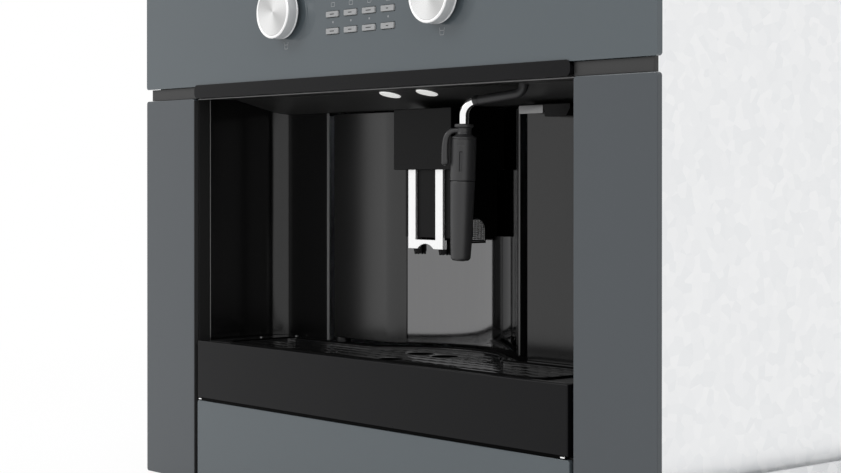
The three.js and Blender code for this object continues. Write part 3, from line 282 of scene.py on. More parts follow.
def makeSpangle():
    # zinc crystals: cells a few millimetres wide, each with its own tone
    tree, given, out, place = newGroup(
        "zincSpangle",
        {"Crystal Scale": 120.0, "Dark": (0.6, 0.61, 0.62, 1.0), "Light": (0.75, 0.76, 0.77, 1.0),
         "Base Roughness": 0.38},
        {"Colour": "Color", "Roughness": "Float", "Normal": "Vector"})
    cells = addNode(tree, "TexVoronoi", {"Vector": place, "Scale": given["Crystal Scale"], "Randomness": 1.0})
    tone = addNode(tree, "SeparateColor", {0: cells.outputs["Color"]}).outputs[0]
    slow = noiseMask(tree, {"Vector": place, "Scale": 9.0})
    feed(tree, out, {"Colour": mixColour(tree, tone, given["Dark"], given["Light"]),
                     "Roughness": varied(tree, tone, 0.12, given["Base Roughness"]),
                     "Normal": bumpNormal(tree, slow, 0.06, 0.002)})
    return tree


groups = {"moulded": makeMoulded(), "brushed": makeBrushed(), "spun": makeSpun(), "spangle": makeSpangle()}

# the finishes themselves


def principled(name, kind, values):
    # a material whose roughness and normal come from an effect group with its own values
    material = bpy.data.materials.new(name)
    material.use_nodes = True
    tree = material.node_tree
    sockets = tree.nodes["Principled BSDF"].inputs
    effect = tree.nodes.new("ShaderNodeGroup")
    effect.node_tree = groups[kind]
    feed(tree, effect.inputs, values)
    feed(tree, sockets, {label: effect.outputs[label] for label in ("Roughness", "Normal")})
    return material, tree, sockets, effect.outputs


def plastic(name, colour, roughness, grainScale=900.0, grain=0.12, marks=0.08, drift=0.12, specular=0.5,
            alpha=1.0, glow=0.0):
    material, tree, sockets, skin = principled(name, "moulded", {
        "Grain Scale": grainScale, "Grain Height": grain, "Base Roughness": roughness,
        "Mark Amount": marks, "Colour": (*colour, 1.0), "Colour Drift": drift})
    feed(tree, sockets, {"Base Color": skin["Colour"], "Specular IOR Level": specular, "Alpha": alpha})
    if glow:
        feed(tree, sockets, {"Emission Color": skin["Colour"], "Emission Strength": glow})
    return material


def brushedMetal(name, colour, roughness, stretch, height=0.08, contrast=0.1, tone=0.06, metallic=1.0):
    material, tree, sockets, lines = principled(name, "brushed", {
        "Stretch": stretch, "Line Height": height, "Base Roughness": roughness, "Line Contrast": contrast})
    low = tuple(c * (1.0 - tone) for c in colour) + (1.0,)
    feed(tree, sockets, {"Base Color": mixColour(tree, lines["Mask"], low, (*colour, 1.0)), "Metallic": metallic})
    return material


def spunMetal(name, colour, roughness, centre, pitch=0.00022, height=0.1, tone=0.7, anisotropic=0.4):
    material, tree, sockets, rings = principled(name, "spun", {
        "Centre": centre, "Ring Pitch": pitch, "Ring Height": height, "Base Roughness": roughness})
    # the colour darkens by tone inside the painted sheen fan: a painted reflection on the knob face
    low = tuple(c * (1.0 - tone) for c in colour) + (1.0,)
    feed(tree, sockets, {"Base Color": mixColour(tree, rings["Mask"], low, (*colour, 1.0)), "Metallic": 1.0,
                         "Anisotropic": anisotropic})
    return material


def zinc(name, dark, light, roughness):
    material, tree, sockets, cells = principled(name, "spangle", {
        "Dark": (*dark, 1.0), "Light": (*light, 1.0), "Base Roughness": roughness})
    feed(tree, sockets, {"Base Color": cells["Colour"], "Metallic": 1.0})
    return material


plastics = {  # name: colour, roughness and what differs from the plain moulded skin
    "greyGlass": ((0.076, 0.0925, 0.103), 0.05, {"grain": 0.0, "marks": 0.05, "drift": 0.03}),
    "sideGlass": ((0.052, 0.061, 0.069), 0.05, {"grain": 0.0, "marks": 0.05, "drift": 0.03}),
    "blackPlastic": ((0.0125, 0.0125, 0.013), 0.3, {"grain": 0.1}),
    "frontBlack": ((0.004, 0.004, 0.0046), 0.26, {"grain": 0.05, "specular": 0.12}),
    "spoutBlack": ((0.0018, 0.0018, 0.002), 0.28, {"grain": 0.06, "specular": 0.11}),
    "wallBlack": ((0.0022, 0.0022, 0.0023), 0.17, {"grainScale": 500.0, "grain": 0.02, "marks": 0.05}),
    "doorBlack": ((0.0045, 0.0045, 0.0045), 0.2,
                  {"grainScale": 500.0, "grain": 0.02, "marks": 0.05, "specular": 0.65}),
    "ceilingBlack": ((0.03, 0.03, 0.03), 0.45, {"grain": 0.03, "specular": 1.0}),
    # painted highlight: a light grey on the end face of the left niche wall, for the light line that edge catches
    "wallEndHighlightGrey": ((0.34, 0.34, 0.34), 0.3, {"grain": 0.03}),
    # painted shade: a darker copy of frameBlack for the frame's inner sides, which face into the shaded niche
    "revealShadeBlack": ((0.0142, 0.0142, 0.0142), 0.4, {"grain": 0.1, "specular": 0.3}),
    # painted highlight: a mid grey on black parts for the thin light lines their edges catch
    "paintedHighlightGrey": ((0.16, 0.16, 0.16), 0.3, {"grain": 0.03, "specular": 0.3}),
    "gridBlack": ((0.004, 0.004, 0.004), 0.035, {"grain": 0.0, "marks": 0.03}),
    # painted shade: a black with almost no reflection, put where shade falls: the spout's sides, the grid's slot
    # walls, the tray's rim bead and the gap under the tray front
    "paintedShadeBlack": ((0.0006, 0.0006, 0.0006), 0.5, {"grain": 0.04, "specular": 0.02}),
    "frameBlack": ((0.031, 0.031, 0.031), 0.4, {"grain": 0.1, "specular": 0.3}),
    "trayBlack": ((0.006, 0.006, 0.0065), 0.12, {"grain": 0.03, "marks": 0.06}),
    "greyPlastic": ((0.022, 0.022, 0.023), 0.42, {"grain": 0.16}),
    "boardGreen": ((0.012, 0.09, 0.045), 0.35, {"grainScale": 300.0, "grain": 0.2, "drift": 0.3}),
    "castAlloy": ((0.3, 0.31, 0.32), 0.5, {"grainScale": 600.0, "grain": 0.5, "drift": 0.2}),
    "floatRed": ((0.42, 0.02, 0.015), 0.35, {"grain": 0.08}),
    "keySilver": ((0.3, 0.304, 0.308), 0.36, {"grain": 0.05, "marks": 0.05, "drift": 0.03}),
    "gripSteel": ((0.85, 0.85, 0.85), 0.35, {"grain": 0.05}),
    "displayGlass": ((0.012, 0.014, 0.017), 0.05, {"grain": 0.0, "marks": 0.04, "drift": 0.03}),
    "markInk": ((0.27, 0.28, 0.29), 0.5, {"grain": 0.0, "marks": 0.02, "drift": 0.02}),
    "darkInk": ((0.03, 0.03, 0.032), 0.5, {"grain": 0.0, "marks": 0.02, "drift": 0.02}),
    "clearPlastic": ((0.5, 0.58, 0.64), 0.08, {"grain": 0.02, "marks": 0.06, "drift": 0.05, "alpha": 0.45}),
    "lampGlow": ((0.85, 0.85, 0.83), 0.25, {"grain": 0.05, "drift": 0.04, "glow": 0.5}),
}
brushedMetals = {  # name: colour, roughness, stretch along x, y and z, and what differs
    "insertSteel": ((0.178, 0.178, 0.18), 0.07, (700.0, 700.0, 12.0), {"height": 0.015, "contrast": 0.04}),
    "trimSteel": ((0.985, 0.985, 0.985), 0.16, (600.0, 600.0, 20.0),
                  {"height": 0.02, "contrast": 0.05, "tone": 0.02, "metallic": 0.7}),
    "plateSteel": ((0.22, 0.22, 0.22), 0.3, (20.0, 600.0, 600.0), {}),
    "knobSatin": ((0.96, 0.96, 0.96), 0.42, (30.0, 900.0, 30.0),
                  {"height": 0.06, "contrast": 0.08, "metallic": 0.62}),
    "pipeSteel": ((0.98, 0.98, 0.98), 0.12, (80.0, 80.0, 80.0), {"height": 0.01, "contrast": 0.04}),
    "screwSteel": ((0.72, 0.73, 0.74), 0.28, (300.0, 300.0, 300.0), {}),
}
zincs = {  # name: darkest and lightest crystal, roughness
    "zincSheet": ((0.83, 0.84, 0.85), (0.9, 0.905, 0.91), 0.4),
    "zincTop": ((0.56, 0.57, 0.58), (0.66, 0.67, 0.68), 0.38),
    "zincRail": ((0.66, 0.67, 0.68), (0.78, 0.785, 0.79), 0.32),
}
finishes = {name: plastic(name, *given, **more) for name, (*given, more) in plastics.items()}
finishes.update({name: brushedMetal(name, *given, **more) for name, (*given, more) in brushedMetals.items()})
finishes.update({name: zinc(name, *given) for name, given in zincs.items()})
print("finishes made:", len(finishes))

# CAD nodes whose shape is right get soft edges and their finish

dressing = {  # node: (finish, edge radius in millimetres)
    "base_plate": ("zincRail", 0.4), "chassis": ("zincSheet", 0.4), "top_cover": ("zincTop", 0.4),
    "side_cover_left": ("zincSheet", 0.5), "side_cover_right": ("zincSheet", 0.5),
    "front_frame": ("frameBlack", 0.5), "control_glass": ("greyGlass", 0.7), "side_glass_left": ("sideGlass", 0.7),
    "side_glass_right": ("sideGlass", 0.7), "lower_glass": ("greyGlass", 0.7), "trim_bar": ("frontBlack", 0.3),
    "niche_wall_left": ("wallBlack", 0.8), "niche_wall_right": ("wallBlack", 0.8),
    "niche_ceiling": ("ceilingBlack", 0.4), "niche_floor": ("blackPlastic", 0.4), "wand_rest": ("spoutBlack", 0.8),
    "lamp_lens_left": ("lampGlow", 0.5), "lamp_lens_right": ("lampGlow", 0.5), "control_board": ("boardGreen", 0.2),
    "bean_hopper": ("clearPlastic", 0.6), "grinder": ("castAlloy", 2.0), "brew_unit": ("blackPlastic", 1.5),
    "grounds_container": ("blackPlastic", 0.6), "tank_seat": ("blackPlastic", 0.8), "boiler": ("castAlloy", 1.0),
    "water_pump": ("castAlloy", 1.0), "mains_inlet": ("blackPlastic", 0.6), "service_door": ("doorBlack", 0.8),
    "recess_insert": ("insertSteel", 0.2), "spout_housing": ("spoutBlack", 0.7),
    "spout_slider": ("spoutBlack", 0.5), "spout_trim": ("trimSteel", 0.25), "drip_tray": ("trayBlack", 0.8),
    "tray_front": ("frontBlack", 0.9), "tray_float": ("floatRed", 0.5), "hopper_lid": ("blackPlastic", 0.8),
    "water_tank": ("clearPlastic", 0.8), "switch_rocker": ("blackPlastic", 0.6),
}
for side in ("left", "right"):
    for member in ("outer", "middle", "inner"):
        dressing[f"runner_{member}_{side}"] = ("zincRail", 0.3)
softEdge = {"segments": 2, "flatAngle": 0.6, "sharpAngle": 38.0}  # angles in degrees


def cleaned(mesh, flatAngle=None, slivers=False):
    # corners that meet become one; then flat faces are joined, or slivers go and the faces are turned outwards
    work = bmesh.new()
    work.from_mesh(mesh)
    bmesh.ops.remove_doubles(work, verts=work.verts, dist=mergeReach)
    if flatAngle:
        bmesh.ops.dissolve_limit(work, angle_limit=math.radians(flatAngle), verts=work.verts, edges=work.edges)
        work.normal_update()
    else:
        if slivers:
            bmesh.ops.dissolve_degenerate(work, edges=work.edges, dist=mergeReach)
        bmesh.ops.recalc_face_normals(work, faces=work.faces)
    work.to_mesh(mesh)
    work.free()
    return mesh


def mergedCopy(node, title):
    # a copy of the node's mesh with its loose triangles merged into plain faces
    mesh = nodes[node].data.copy()
    mesh.name = title
    mesh.transform(nodes[node].matrix_world)
    return cleaned(mesh, softEdge["flatAngle"])


def finishPiece(title, mesh, finish, node, slotNode=None, stands=False, sharp=softEdge["sharpAngle"], edge=0.0):
    # a piece that rides with the node's body, and stands in for the node where stands is true
    for polygon in mesh.polygons:
        polygon.use_smooth = True
    mesh.set_sharp_from_angle(angle=math.radians(sharp))
    mesh.materials.clear()
    mesh.materials.append(finishes[finish] if isinstance(finish, str) else finish)
    piece = addObject(title, mesh)
    if edge:
        soft = piece.modifiers.new("softEdges", "BEVEL")
        soft.width = edge * mm
        soft.segments = softEdge["segments"]
        soft.limit_method = "ANGLE"
        soft.angle_limit = math.radians(sharp)
        soft.harden_normals = True
        soft.use_clamp_overlap = True
    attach(piece, bodyOf[node])
    if stands:
        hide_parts(node)
    return piece


def secondMaterial(mesh, finish, takes):
    # the faces for which takes is true get another finish
    mesh.materials.append(finishes[finish])
    for polygon in mesh.polygons:
        if takes(polygon):
            polygon.material_index = 1


# faces across x in a band take a second finish: (finish, least |x|, most |x|) in millimetres; the wall end's grey is
# a painted highlight, the frame's reveal and the spout's sides get painted shade
secondFinish = {"front_frame": ("revealShadeBlack", 200.0, 226.0), "niche_wall_left": ("wallEndHighlightGrey", 157.0, 165.0),
                "side_glass_left": ("frameBlack", 223.0, 224.0), "side_glass_right": ("frameBlack", 223.0, 224.0),
                "spout_housing": ("paintedShadeBlack", 33.0, 35.0), "spout_slider": ("paintedShadeBlack", 20.0, 30.0)}

for node, (finish, edge) in dressing.items():
    title = node.title().replace("_", "") + "Skin"
    mesh = mergedCopy(node, title)
    finishPiece(title, mesh, finish, node, stands=True, edge=edge)
    if node in secondFinish:
        second, low, high = secondFinish[node]
        secondMaterial(mesh, second, lambda p: abs(p.normal.x) > 0.9 and low < abs(p.center.x) / mm < high)
print("dressed nodes:", len(dressing))

# helpers for the pieces drawn here: all sizes are millimetres, y from the glass plane


def toFrame(points):
    # model millimetres to frame metres
    return np.asarray(points, float) * mm + np.array((0.0, glassY, 0.0))


def around(sides):
    # angles round a full turn
    return np.linspace(0.0, 2.0 * np.pi, sides, endpoint=False)


def surface(rows, caps=False):
    # faces between neighbouring rows of a (rows, columns, 3) grid whose columns form a ring; caps close both ends
    rows = np.asarray(rows, float)
    count, columns = rows.shape[:2]
    index = np.arange(count * columns).reshape(count, columns)
    after = np.roll(index, -1, axis=1)
    faces = np.stack([index[:-1], after[:-1], after[1:], index[1:]], axis=-1).reshape(-1, 4).tolist()
    if caps:
        faces += [index[0, ::-1].tolist(), index[-1].tolist()]
    return rows.reshape(-1, 3), faces


def together(*parts):
    # several closed surfaces in one mesh
    points, faces, start = [], [], 0
    for some, sides in parts:
        points.append(some)
        faces.extend([[i + start for i in side] for side in sides])
        start += len(some)
    return np.concatenate(points), faces


def makeMesh(title, shape):
    points, faces = shape
    mesh = bpy.data.meshes.new(title)
    mesh.from_pydata(toFrame(points).tolist(), [], faces)
    return cleaned(mesh, slivers=True)


def softened(corners, radius, steps=4):
    # a polyline whose inner corners are rounded: each gives way to a quadratic curve of the given reach
    corners = np.asarray(corners, float)
    out = [corners[:1]]
    share = np.linspace(0.0, 1.0, steps + 1)[:, None]
    for before, here, after in zip(corners[:-2], corners[1:-1], corners[2:]):
        back, forth = before - here, after - here
        reach = min(radius, 0.45 * np.linalg.norm(back), 0.45 * np.linalg.norm(forth))
        start = here + back / np.linalg.norm(back) * reach
        end = here + forth / np.linalg.norm(forth) * reach
        out.append((1 - share) ** 2 * start + 2 * share * (1 - share) * here + share ** 2 * end)
    return np.concatenate(out + [corners[-1:]])


def turned(profile, centre, axis, sides):
    # a profile of (radius, height) carried round an axis through centre
    profile = np.asarray(profile, float)
    turns = around(sides)
    radius, height = profile[:, :1], np.repeat(profile[:, 1:], sides, axis=1)
    first, second = radius * np.cos(turns), radius * np.sin(turns)
    order = {"z": (first, second, height), "y": (first, height, second)}[axis]
    return surface(np.stack(order, axis=-1) + np.asarray(centre, float))


def roundedOutline(width, height, radius):
    # a rectangle with quarter-circle corners about the origin, anticlockwise
    turns = np.linspace(0.0, 0.5 * np.pi, 7)
    out = []
    for quarter, (sx, sy) in enumerate(((1, 1), (-1, 1), (-1, -1), (1, -1))):
        centre = np.array((sx * (width / 2 - radius), sy * (height / 2 - radius)))
        angle = turns + quarter * 0.5 * np.pi
        out.append(centre + radius * np.stack((np.cos(angle), np.sin(angle)), axis=-1))
    return np.concatenate(out)


def slab(width, height, corner, front, back, edge, centre, dish=0.0):
    # a rounded plate facing forwards: outlines that step in over a quarter-round edge, closed front and back
    rows = []
    for turn in np.linspace(0.5 * np.pi, 0.0, 5):
        inset = edge * (1 - np.cos(turn))
        outline = roundedOutline(width - 2 * inset, height - 2 * inset, max(corner - inset, 0.05))
        level = np.full((len(outline), 1), front + edge * (1 - np.sin(turn)))
        rows.append(np.hstack((outline[:, :1] + centre[0], level, outline[:, 1:] + centre[1])))
    last = rows[-1].copy()
    last[:, 1] = back
    rows.append(last)
    if dish:
        wide, high = 0.8, 0.6  # shares of the face that the hollow takes
        middle = rows[0].copy()
        middle[:, 0] = centre[0] + (middle[:, 0] - centre[0]) * wide
        middle[:, 2] = centre[1] + (middle[:, 2] - centre[1]) * high
        middle[:, 1] += dish
        rows.insert(0, middle)
    return surface(np.array(rows), caps=True)


def swept(path, section):
    # a closed section (columns, 2) carried along a path (rows, 3), without twist, closed at both ends
    path = np.asarray(path, float)
    run = np.gradient(path, axis=0)
    run /= np.linalg.norm(run, axis=1, keepdims=True)
    side = np.zeros_like(run)
    guide = np.cross(run[0], (0.3, 0.5, 0.81))  # any direction across the path's start
    for i, along in enumerate(run):
        guide = guide - along * np.dot(guide, along)
        guide /= np.linalg.norm(guide)
        side[i] = guide
    other = np.cross(run, side)
    section = np.asarray(section, float)
    rows = path[:, None] + section[None, :, :1] * side[:, None] + section[None, :, 1:] * other[:, None]
    return surface(rows, caps=True)


def circleSection(radius, sides):
    turns = around(sides)
    return radius * np.stack((np.cos(turns), np.sin(turns)), axis=-1)


def straightBead(start, end, radius):
    return swept(np.linspace(start, end, 12), circleSection(radius, 12))


def drawn(title, shape, finish, node, slotNode=None, stands=False, **more):
    return finishPiece(title, makeMesh(title, shape), finish, node, slotNode, stands, **more)


# the two knobs: a spun face inside a bright rim, and a satin side with a shadow groove at its foot
knob = {"x": 93.0, "z": 387.5, "radius": 21.0, "front": -14.2, "foot": -3.5, "rim": 1.5, "dish": 0.6, "hollow": 0.25,
        "seatIn": 0.7, "seatDeep": 2.0, "discIn": 0.75, "discDeep": 1.7, "shaft": 4.0, "shaftEnd": 16.0, "sides": 128,
        # the edge's places are from the outer radius and the front, the groove's from the radius and the foot
        "edge": [(-0.75, 0.0), (0.0, 0.8)],
        "groove": [(0.0, -1.9), (-0.5, -1.7), (-0.5, -1.3), (-0.1, -1.1), (-0.2, 0.0)],
        "faceTone": (0.84, 0.84, 0.836), "faceRoughness": 0.22,
        "dimple": [(0.0, -0.35), (1.0, -0.25), (1.3, 0.0), (1.3, 0.4), (0.0, 0.4)], "dimpleUp": 14.5}


def knobShape(x):
    # profile in (radius, y): rim, rounded outer edge, straight side, groove, shaft; the face is a piece of its own
    k = knob
    radius, front, foot, seat = k["radius"], k["front"], k["foot"], k["front"] + k["seatDeep"]
    face = radius - k["rim"] - k["seatIn"]
    outline = [(0.0, seat), (face + 0.05, seat), (face + 0.05, front + k["dish"] + 0.1), (face + 0.35, front + 0.08)]
    outline += [(radius + out, front + back) for out, back in k["edge"]]
    outline += [(radius + out, foot + back) for out, back in k["groove"]]
    outline += [(k["shaft"], foot), (k["shaft"], k["shaftEnd"]), (0.0, k["shaftEnd"])]
    return turned(softened(outline, 0.3, 3), (x, 0.0, k["z"]), "y", k["sides"])


def knobFace(x):
    # a thin dished disc: the front drops from the rim towards the middle by hollow (1 - t^2)
    k = knob
    share = np.linspace(1.0, 0.0, 16)
    radius = (k["radius"] - k["rim"] - k["discIn"]) * share
    front = np.stack((radius, k["front"] + k["dish"] + k["hollow"] * (1 - share ** 2)), axis=-1)
    rear = k["front"] + k["discDeep"]
    back = np.array([(0.0, rear), (radius[0], rear), (radius[0], front[0, 1] + 0.1)])
    return turned(np.concatenate((front, back, front[:1])), (x, 0.0, k["z"]), "y", k["sides"])


for side, x in (("Left", -knob["x"]), ("Right", knob["x"])):
    centre = tuple(float(v) for v in toFrame((x, 0.0, knob["z"])))
    node = f"knob_{side.lower()}"
    face = spunMetal(f"spunFace{side}", knob["faceTone"], knob["faceRoughness"], centre)
    drawn(f"Knob{side}", knobShape(x), "knobSatin", node, stands=True, sharp=32.0)
    drawn(f"KnobFace{side}", knobFace(x), face, node)
    dimple = turned(softened(knob["dimple"], 0.2),
                    (x, knob["front"] + knob["dish"] + 0.1, knob["z"] + knob["dimpleUp"]), "y", 32)
    drawn(f"KnobPointer{side}", dimple, "darkInk", node)
print("knobs made")

# the eight keys: silver caps with soft edges, a little hollow, each with a plain dark dash
keys = {"count": 8, "width": 15.0, "height": 4.4, "corner": 0.9, "front": -1.2, "back": 5.2, "edge": 0.35,
        "hollow": 0.12, "flange": {"over": 1.25, "corner": 0.5, "front": 5.0, "back": 6.5, "edge": 0.1},
        "dash": {"wide": 5.2, "high": 0.75, "corner": 0.3, "front": 0.03, "back": 0.4, "edge": 0.05,
                 "shares": (1.0, 0.8, 1.15, 0.5)}}

k, f, d = keys, keys["flange"], keys["dash"]
for number in range(1, k["count"] + 1):
    node = f"key_{number}"
    low, high = (np.array(v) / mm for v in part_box(node))
    centre = (float(low[0] + high[0]) / 2, float(low[2] + high[2]) / 2)
    cap = slab(k["width"], k["height"], k["corner"], k["front"], k["back"], k["edge"], centre, k["hollow"])
    flange = slab(k["width"] + 2 * f["over"], k["height"] + 2 * f["over"], f["corner"], f["front"], f["back"],
                  f["edge"], centre)
    drawn(f"Key{number}", together(cap, flange), "keySilver", node, stands=True)
    wide = d["wide"] * d["shares"][(number - 1) % len(d["shares"])]
    dash = slab(wide, d["high"], d["corner"], k["front"] + d["front"], k["front"] + d["back"], d["edge"], centre)
    drawn(f"KeyDash{number}", dash, "darkInk", node)
print("keys made")

# steam pipe: out of the ceiling, across under a dark coat that paints on the reflection of the dark ceiling, and down
# in bright steel to the frother
pipe = {"exit": (130.0, 45.0), "end": (90.0, 24.0), "radius": 3.5, "top": 332.0, "elbow": 317.0, "drop": 4.0,
        "exitBend": 7.0, "endBend": 11.0, "collarRadius": 7.0, "collar": (327.1, 330.1), "darkCoatOver": 0.02,
        "cuffOver": 0.35, "brightAfter": 4, "tuck": 2, "cuffRows": 3, "sides": 28}
frother = {
    "top": 296.1, "lean": 1.5, "tabTurn": 49.3, "tabWide": 8.0, "straightRadius": 9.2, "straight": (255.9, 284.6),
    # profiles of (radius, height): spigot and seam; groove, flared shoulder, neck and collar
    "lower": [(0.0, 215.0), (5.0, 215.0), (5.0, 255.1), (8.8, 255.1), (9.2, 255.8)],
    "upper": [(9.2, 284.7), (8.9, 284.95), (8.9, 285.35), (9.25, 285.6), (9.25, 286.5), (7.6, 287.3), (5.75, 289.0),
              (5.75, 289.9), (5.5, 290.1), (5.5, 292.8), (6.0, 293.5), (6.9, 293.9), (6.9, 295.7), (6.5, 296.05),
              (3.7, 296.05), (0.0, 296.05)],
    # sleeve: bore, seam lip, long taper, rounded foot, outlet
    "sleeve": [(5.3, 254.8), (8.75, 254.8), (8.95, 254.2), (8.9, 250.0), (7.75, 209.6), (7.15, 199.4), (5.6, 197.7),
               (3.6, 197.6), (3.0, 198.2), (3.0, 207.0), (5.3, 207.0), (5.3, 254.8)],
    "outlet": [(3.0, 198.4), (3.0, 197.3), (2.5, 197.3), (2.3, 199.0), (2.3, 206.5), (3.0, 206.5), (3.0, 198.4)],
    "lever": [(4.0, 291.4), (8.6, 291.2), (12.3, 287.8), (13.4, 281.5), (13.4, 274.5), (13.0, 265.8)],
    # the lever's thickness and half-width grow along it; its end rounds off from a share on, over a share
    "leverThick": (1.9, 0.8), "leverWide": (0.85, 0.15), "leverEnd": (0.93, 0.07), "leverSquare": 0.55,
    "slotTurn": math.atan2(-0.813, 0.59), "pressSoft": 0.35,
    "pressings": [(0.0, 268.9, 1.9, 14.4, 0.75), (-0.02, 281.0, 5.0, 1.1, 0.25)],  # turn, z, width, height, depth
}


def pipePath():
    # distance run out from the exit and height: down, quarter circle, slope, quarter circle, down
    start, end = np.array(pipe["exit"]), np.array(pipe["end"])
    reach = math.hypot(*(end - start))
    turn = np.linspace(0.0, 0.5 * np.pi, 14)
    low, wide, tight = pipe["elbow"] - pipe["drop"], pipe["endBend"], pipe["exitBend"]
    first = np.stack((tight * (1 - np.cos(turn)), pipe["elbow"] + tight * (1 - np.sin(turn))), -1)
    slope = np.linspace(first[-1], (reach - wide, low), 12)[1:-1]
    second = np.stack((reach - wide * (1 - np.sin(turn)), low - wide * (1 - np.cos(turn))), -1)
    down = np.linspace((0.0, pipe["top"]), first[0], 4)[:-1]
    last = np.linspace(second[-1], (reach, frother["top"] + 0.2), 4)[1:]
    flat = np.concatenate((down, first, slope, second, last))
    plan = start + flat[:, :1] * (end - start) / reach
    return np.hstack((plan, flat[:, 1:])), len(down) + len(first) + len(slope)


path, bendStart = pipePath()
# the sleeve named below is the dark coat of painted reflection, which ends at this row
bright = bendStart + pipe["brightAfter"]  # the row of the path where the sleeve ends
radius, sides = pipe["radius"], pipe["sides"]
bare = swept(path[bright - pipe["tuck"]:], circleSection(radius, sides))
drawn("SteamPipeEnd", bare, "pipeSteel", "steam_pipe", stands=True)
low, high = pipe["collar"]
collar = [(radius, low), (pipe["collarRadius"], low), (pipe["collarRadius"], high), (radius, high)]
# the arm's dark grey coat, a hair over the pipe, is a painted reflection of the dark ceiling; the collar at the exit
# is plain grey plastic
arm = together(swept(path[:bright], circleSection(radius + pipe["darkCoatOver"], sides)),
               turned(softened(collar, 0.5), (*pipe["exit"], 0.0), "z", 40))
drawn("SteamPipeArm", arm, "greyPlastic", "steam_pipe", "frother_body")
cuff = swept(path[bright - 1 - pipe["cuffRows"]:bright - 1], circleSection(radius + pipe["cuffOver"], sides))
drawn("SteamPipeCuff", cuff, "blackPlastic", "steam_pipe", "frother_body", edge=0.2)


def leaned(shape):
    # the frother hangs a little out of upright: a turn about the pipe's end
    points, faces = shape
    turn = math.radians(frother["tabTurn"])
    spin = np.array(Matrix.Rotation(math.radians(frother["lean"]), 3, Vector((-math.sin(turn), math.cos(turn), 0.0))))
    pivot = np.array((*pipe["end"], frother["top"]))
    return (points - pivot) @ spin.T + pivot, faces


def pressed(profile, marks):
    # a turned shape with hollows: the radius drops by depth inside each rounded box of (turn, z, width, height)
    profile = np.asarray(profile, float)
    turns = around(160)[None, :]
    radius = np.repeat(profile[:, :1], turns.size, axis=1)
    z = np.repeat(profile[:, 1:], turns.size, axis=1)
    for turn, level, width, height, depth in marks:
        across = np.abs((turns - turn + np.pi) % (2 * np.pi) - np.pi) * radius - width / 2
        up = np.abs(z - level) - height / 2
        outside = np.maximum(across, up)
        radius = radius - depth * np.clip(0.5 - outside / frother["pressSoft"], 0.0, 1.0)
    rows = np.stack((pipe["end"][0] + radius * np.cos(turns), pipe["end"][1] + radius * np.sin(turns), z), axis=-1)
    return surface(rows)


def frotherBodyShape():
    f = frother
    straight = np.stack((np.full(46, f["straightRadius"]), np.linspace(*f["straight"], 46)), axis=-1)
    profile = np.concatenate((softened(f["lower"], 0.2, 2), straight, softened(f["upper"], 0.35, 3)))
    return pressed(profile, [(f["slotTurn"] + turn, *rest) for turn, *rest in f["pressings"]])


def evenly(points, count):
    # the same line with its points at even steps
    points = np.asarray(points, float)
    run = np.concatenate(([0.0], np.cumsum(np.linalg.norm(np.diff(points, axis=0), axis=1))))
    steps = np.linspace(0.0, run[-1], count)
    return np.stack([np.interp(steps, run, points[:, i]) for i in range(points.shape[1])], axis=-1)


def frotherLeverShape():
    # a curved thumb lever: a flat rounded section that thickens along a path from the collar down the left side
    f = frother
    course = evenly(softened(f["lever"], 6.0, 8), 70)
    run = np.gradient(course, axis=0)
    run /= np.linalg.norm(run, axis=1, keepdims=True)
    across = np.stack((-run[:, 1], run[:, 0]), axis=-1)
    share = np.linspace(0.0, 1.0, len(course))[:, None]
    ends = np.sqrt(np.clip(1 - np.clip((share - f["leverEnd"][0]) / f["leverEnd"][1], 0, 1) ** 2, 0.01, 1.0))
    thick = (f["leverThick"][0] + f["leverThick"][1] * share) * ends
    wide = (f["tabWide"] / 2 * (f["leverWide"][0] + f["leverWide"][1] * share)) * ends
    turns = around(28)  # the section is a superellipse: cos and sin to the power leverSquare
    a = np.sign(np.cos(turns)) * np.abs(np.cos(turns)) ** f["leverSquare"]
    b = np.sign(np.sin(turns)) * np.abs(np.sin(turns)) ** f["leverSquare"]
    flat = course[:, None] + across[:, None] * (thick * a)[..., None]
    tangent = wide * b
    turn = math.radians(f["tabTurn"]) + math.pi
    x = pipe["end"][0] + flat[..., 0] * math.cos(turn) - tangent * math.sin(turn)
    y = pipe["end"][1] + flat[..., 0] * math.sin(turn) + tangent * math.cos(turn)
    return surface(np.stack((x, y, flat[..., 1]), axis=-1), caps=True)


below = (*pipe["end"], 0.0)
drawn("FrotherBody", leaned(frotherBodyShape()), "greyPlastic", "frother_body", stands=True, sharp=34.0)
drawn("FrotherLever", leaned(frotherLeverShape()), "greyPlastic", "frother_body", sharp=50.0)
sleeve = turned(softened(frother["sleeve"], 0.6, 4), below, "z", 96)
drawn("FrotherSleeve", leaned(sleeve), "greyPlastic", "frother_sleeve", stands=True, sharp=34.0)
outlet = turned(softened(frother["outlet"], 0.15, 2), below, "z", 40)
drawn("FrotherOutlet", leaned(outlet), "blackPlastic", "frother_sleeve")
print("steam pipe and frother made")

# spout: toothed nozzles and dotted grips; its slider and its trim are dressed above
spout = {"nozzleX": 14.6, "nozzleY": 72.0, "top": 211.1, "bottom": 198.0, "radius": 5.0, "bore": 2.5, "boreDeep": 4.0,
         "boreLip": 1.2, "teeth": 9, "tooth": 1.3,
         # each ring of the foot: how far in, how far up, and its share of the teeth
         "foot": ((0.0, 2.9, 0), (0.35, 1.7, 0), (0.5, 0.0, 1), (1.2, 0.0, 1), (1.5, 1.5, 0)),
         "gripX": 28.35, "gripY": 92.0, "gripZ": 217.0, "gripRadius": 8.9, "gripLow": 208.2, "plate": (0.12, -0.4),
         "dot": 0.42, "dotPitch": 1.55, "dotHalfCount": 6, "dotRings": ((1.0, 0.1), (0.85, 0.3), (0.45, 0.42)),
         "dotDrop": 0.6, "dotIn": 0.9, "dotSide": 0.1, "dotLow": 0.5, "dotOut": 0.1,
         "rimIn": 0.35, "rimOut": 0.14, "rimRadius": 0.24, "rimFoot": 0.35, "rimCorner": (0.6, 0.9)}


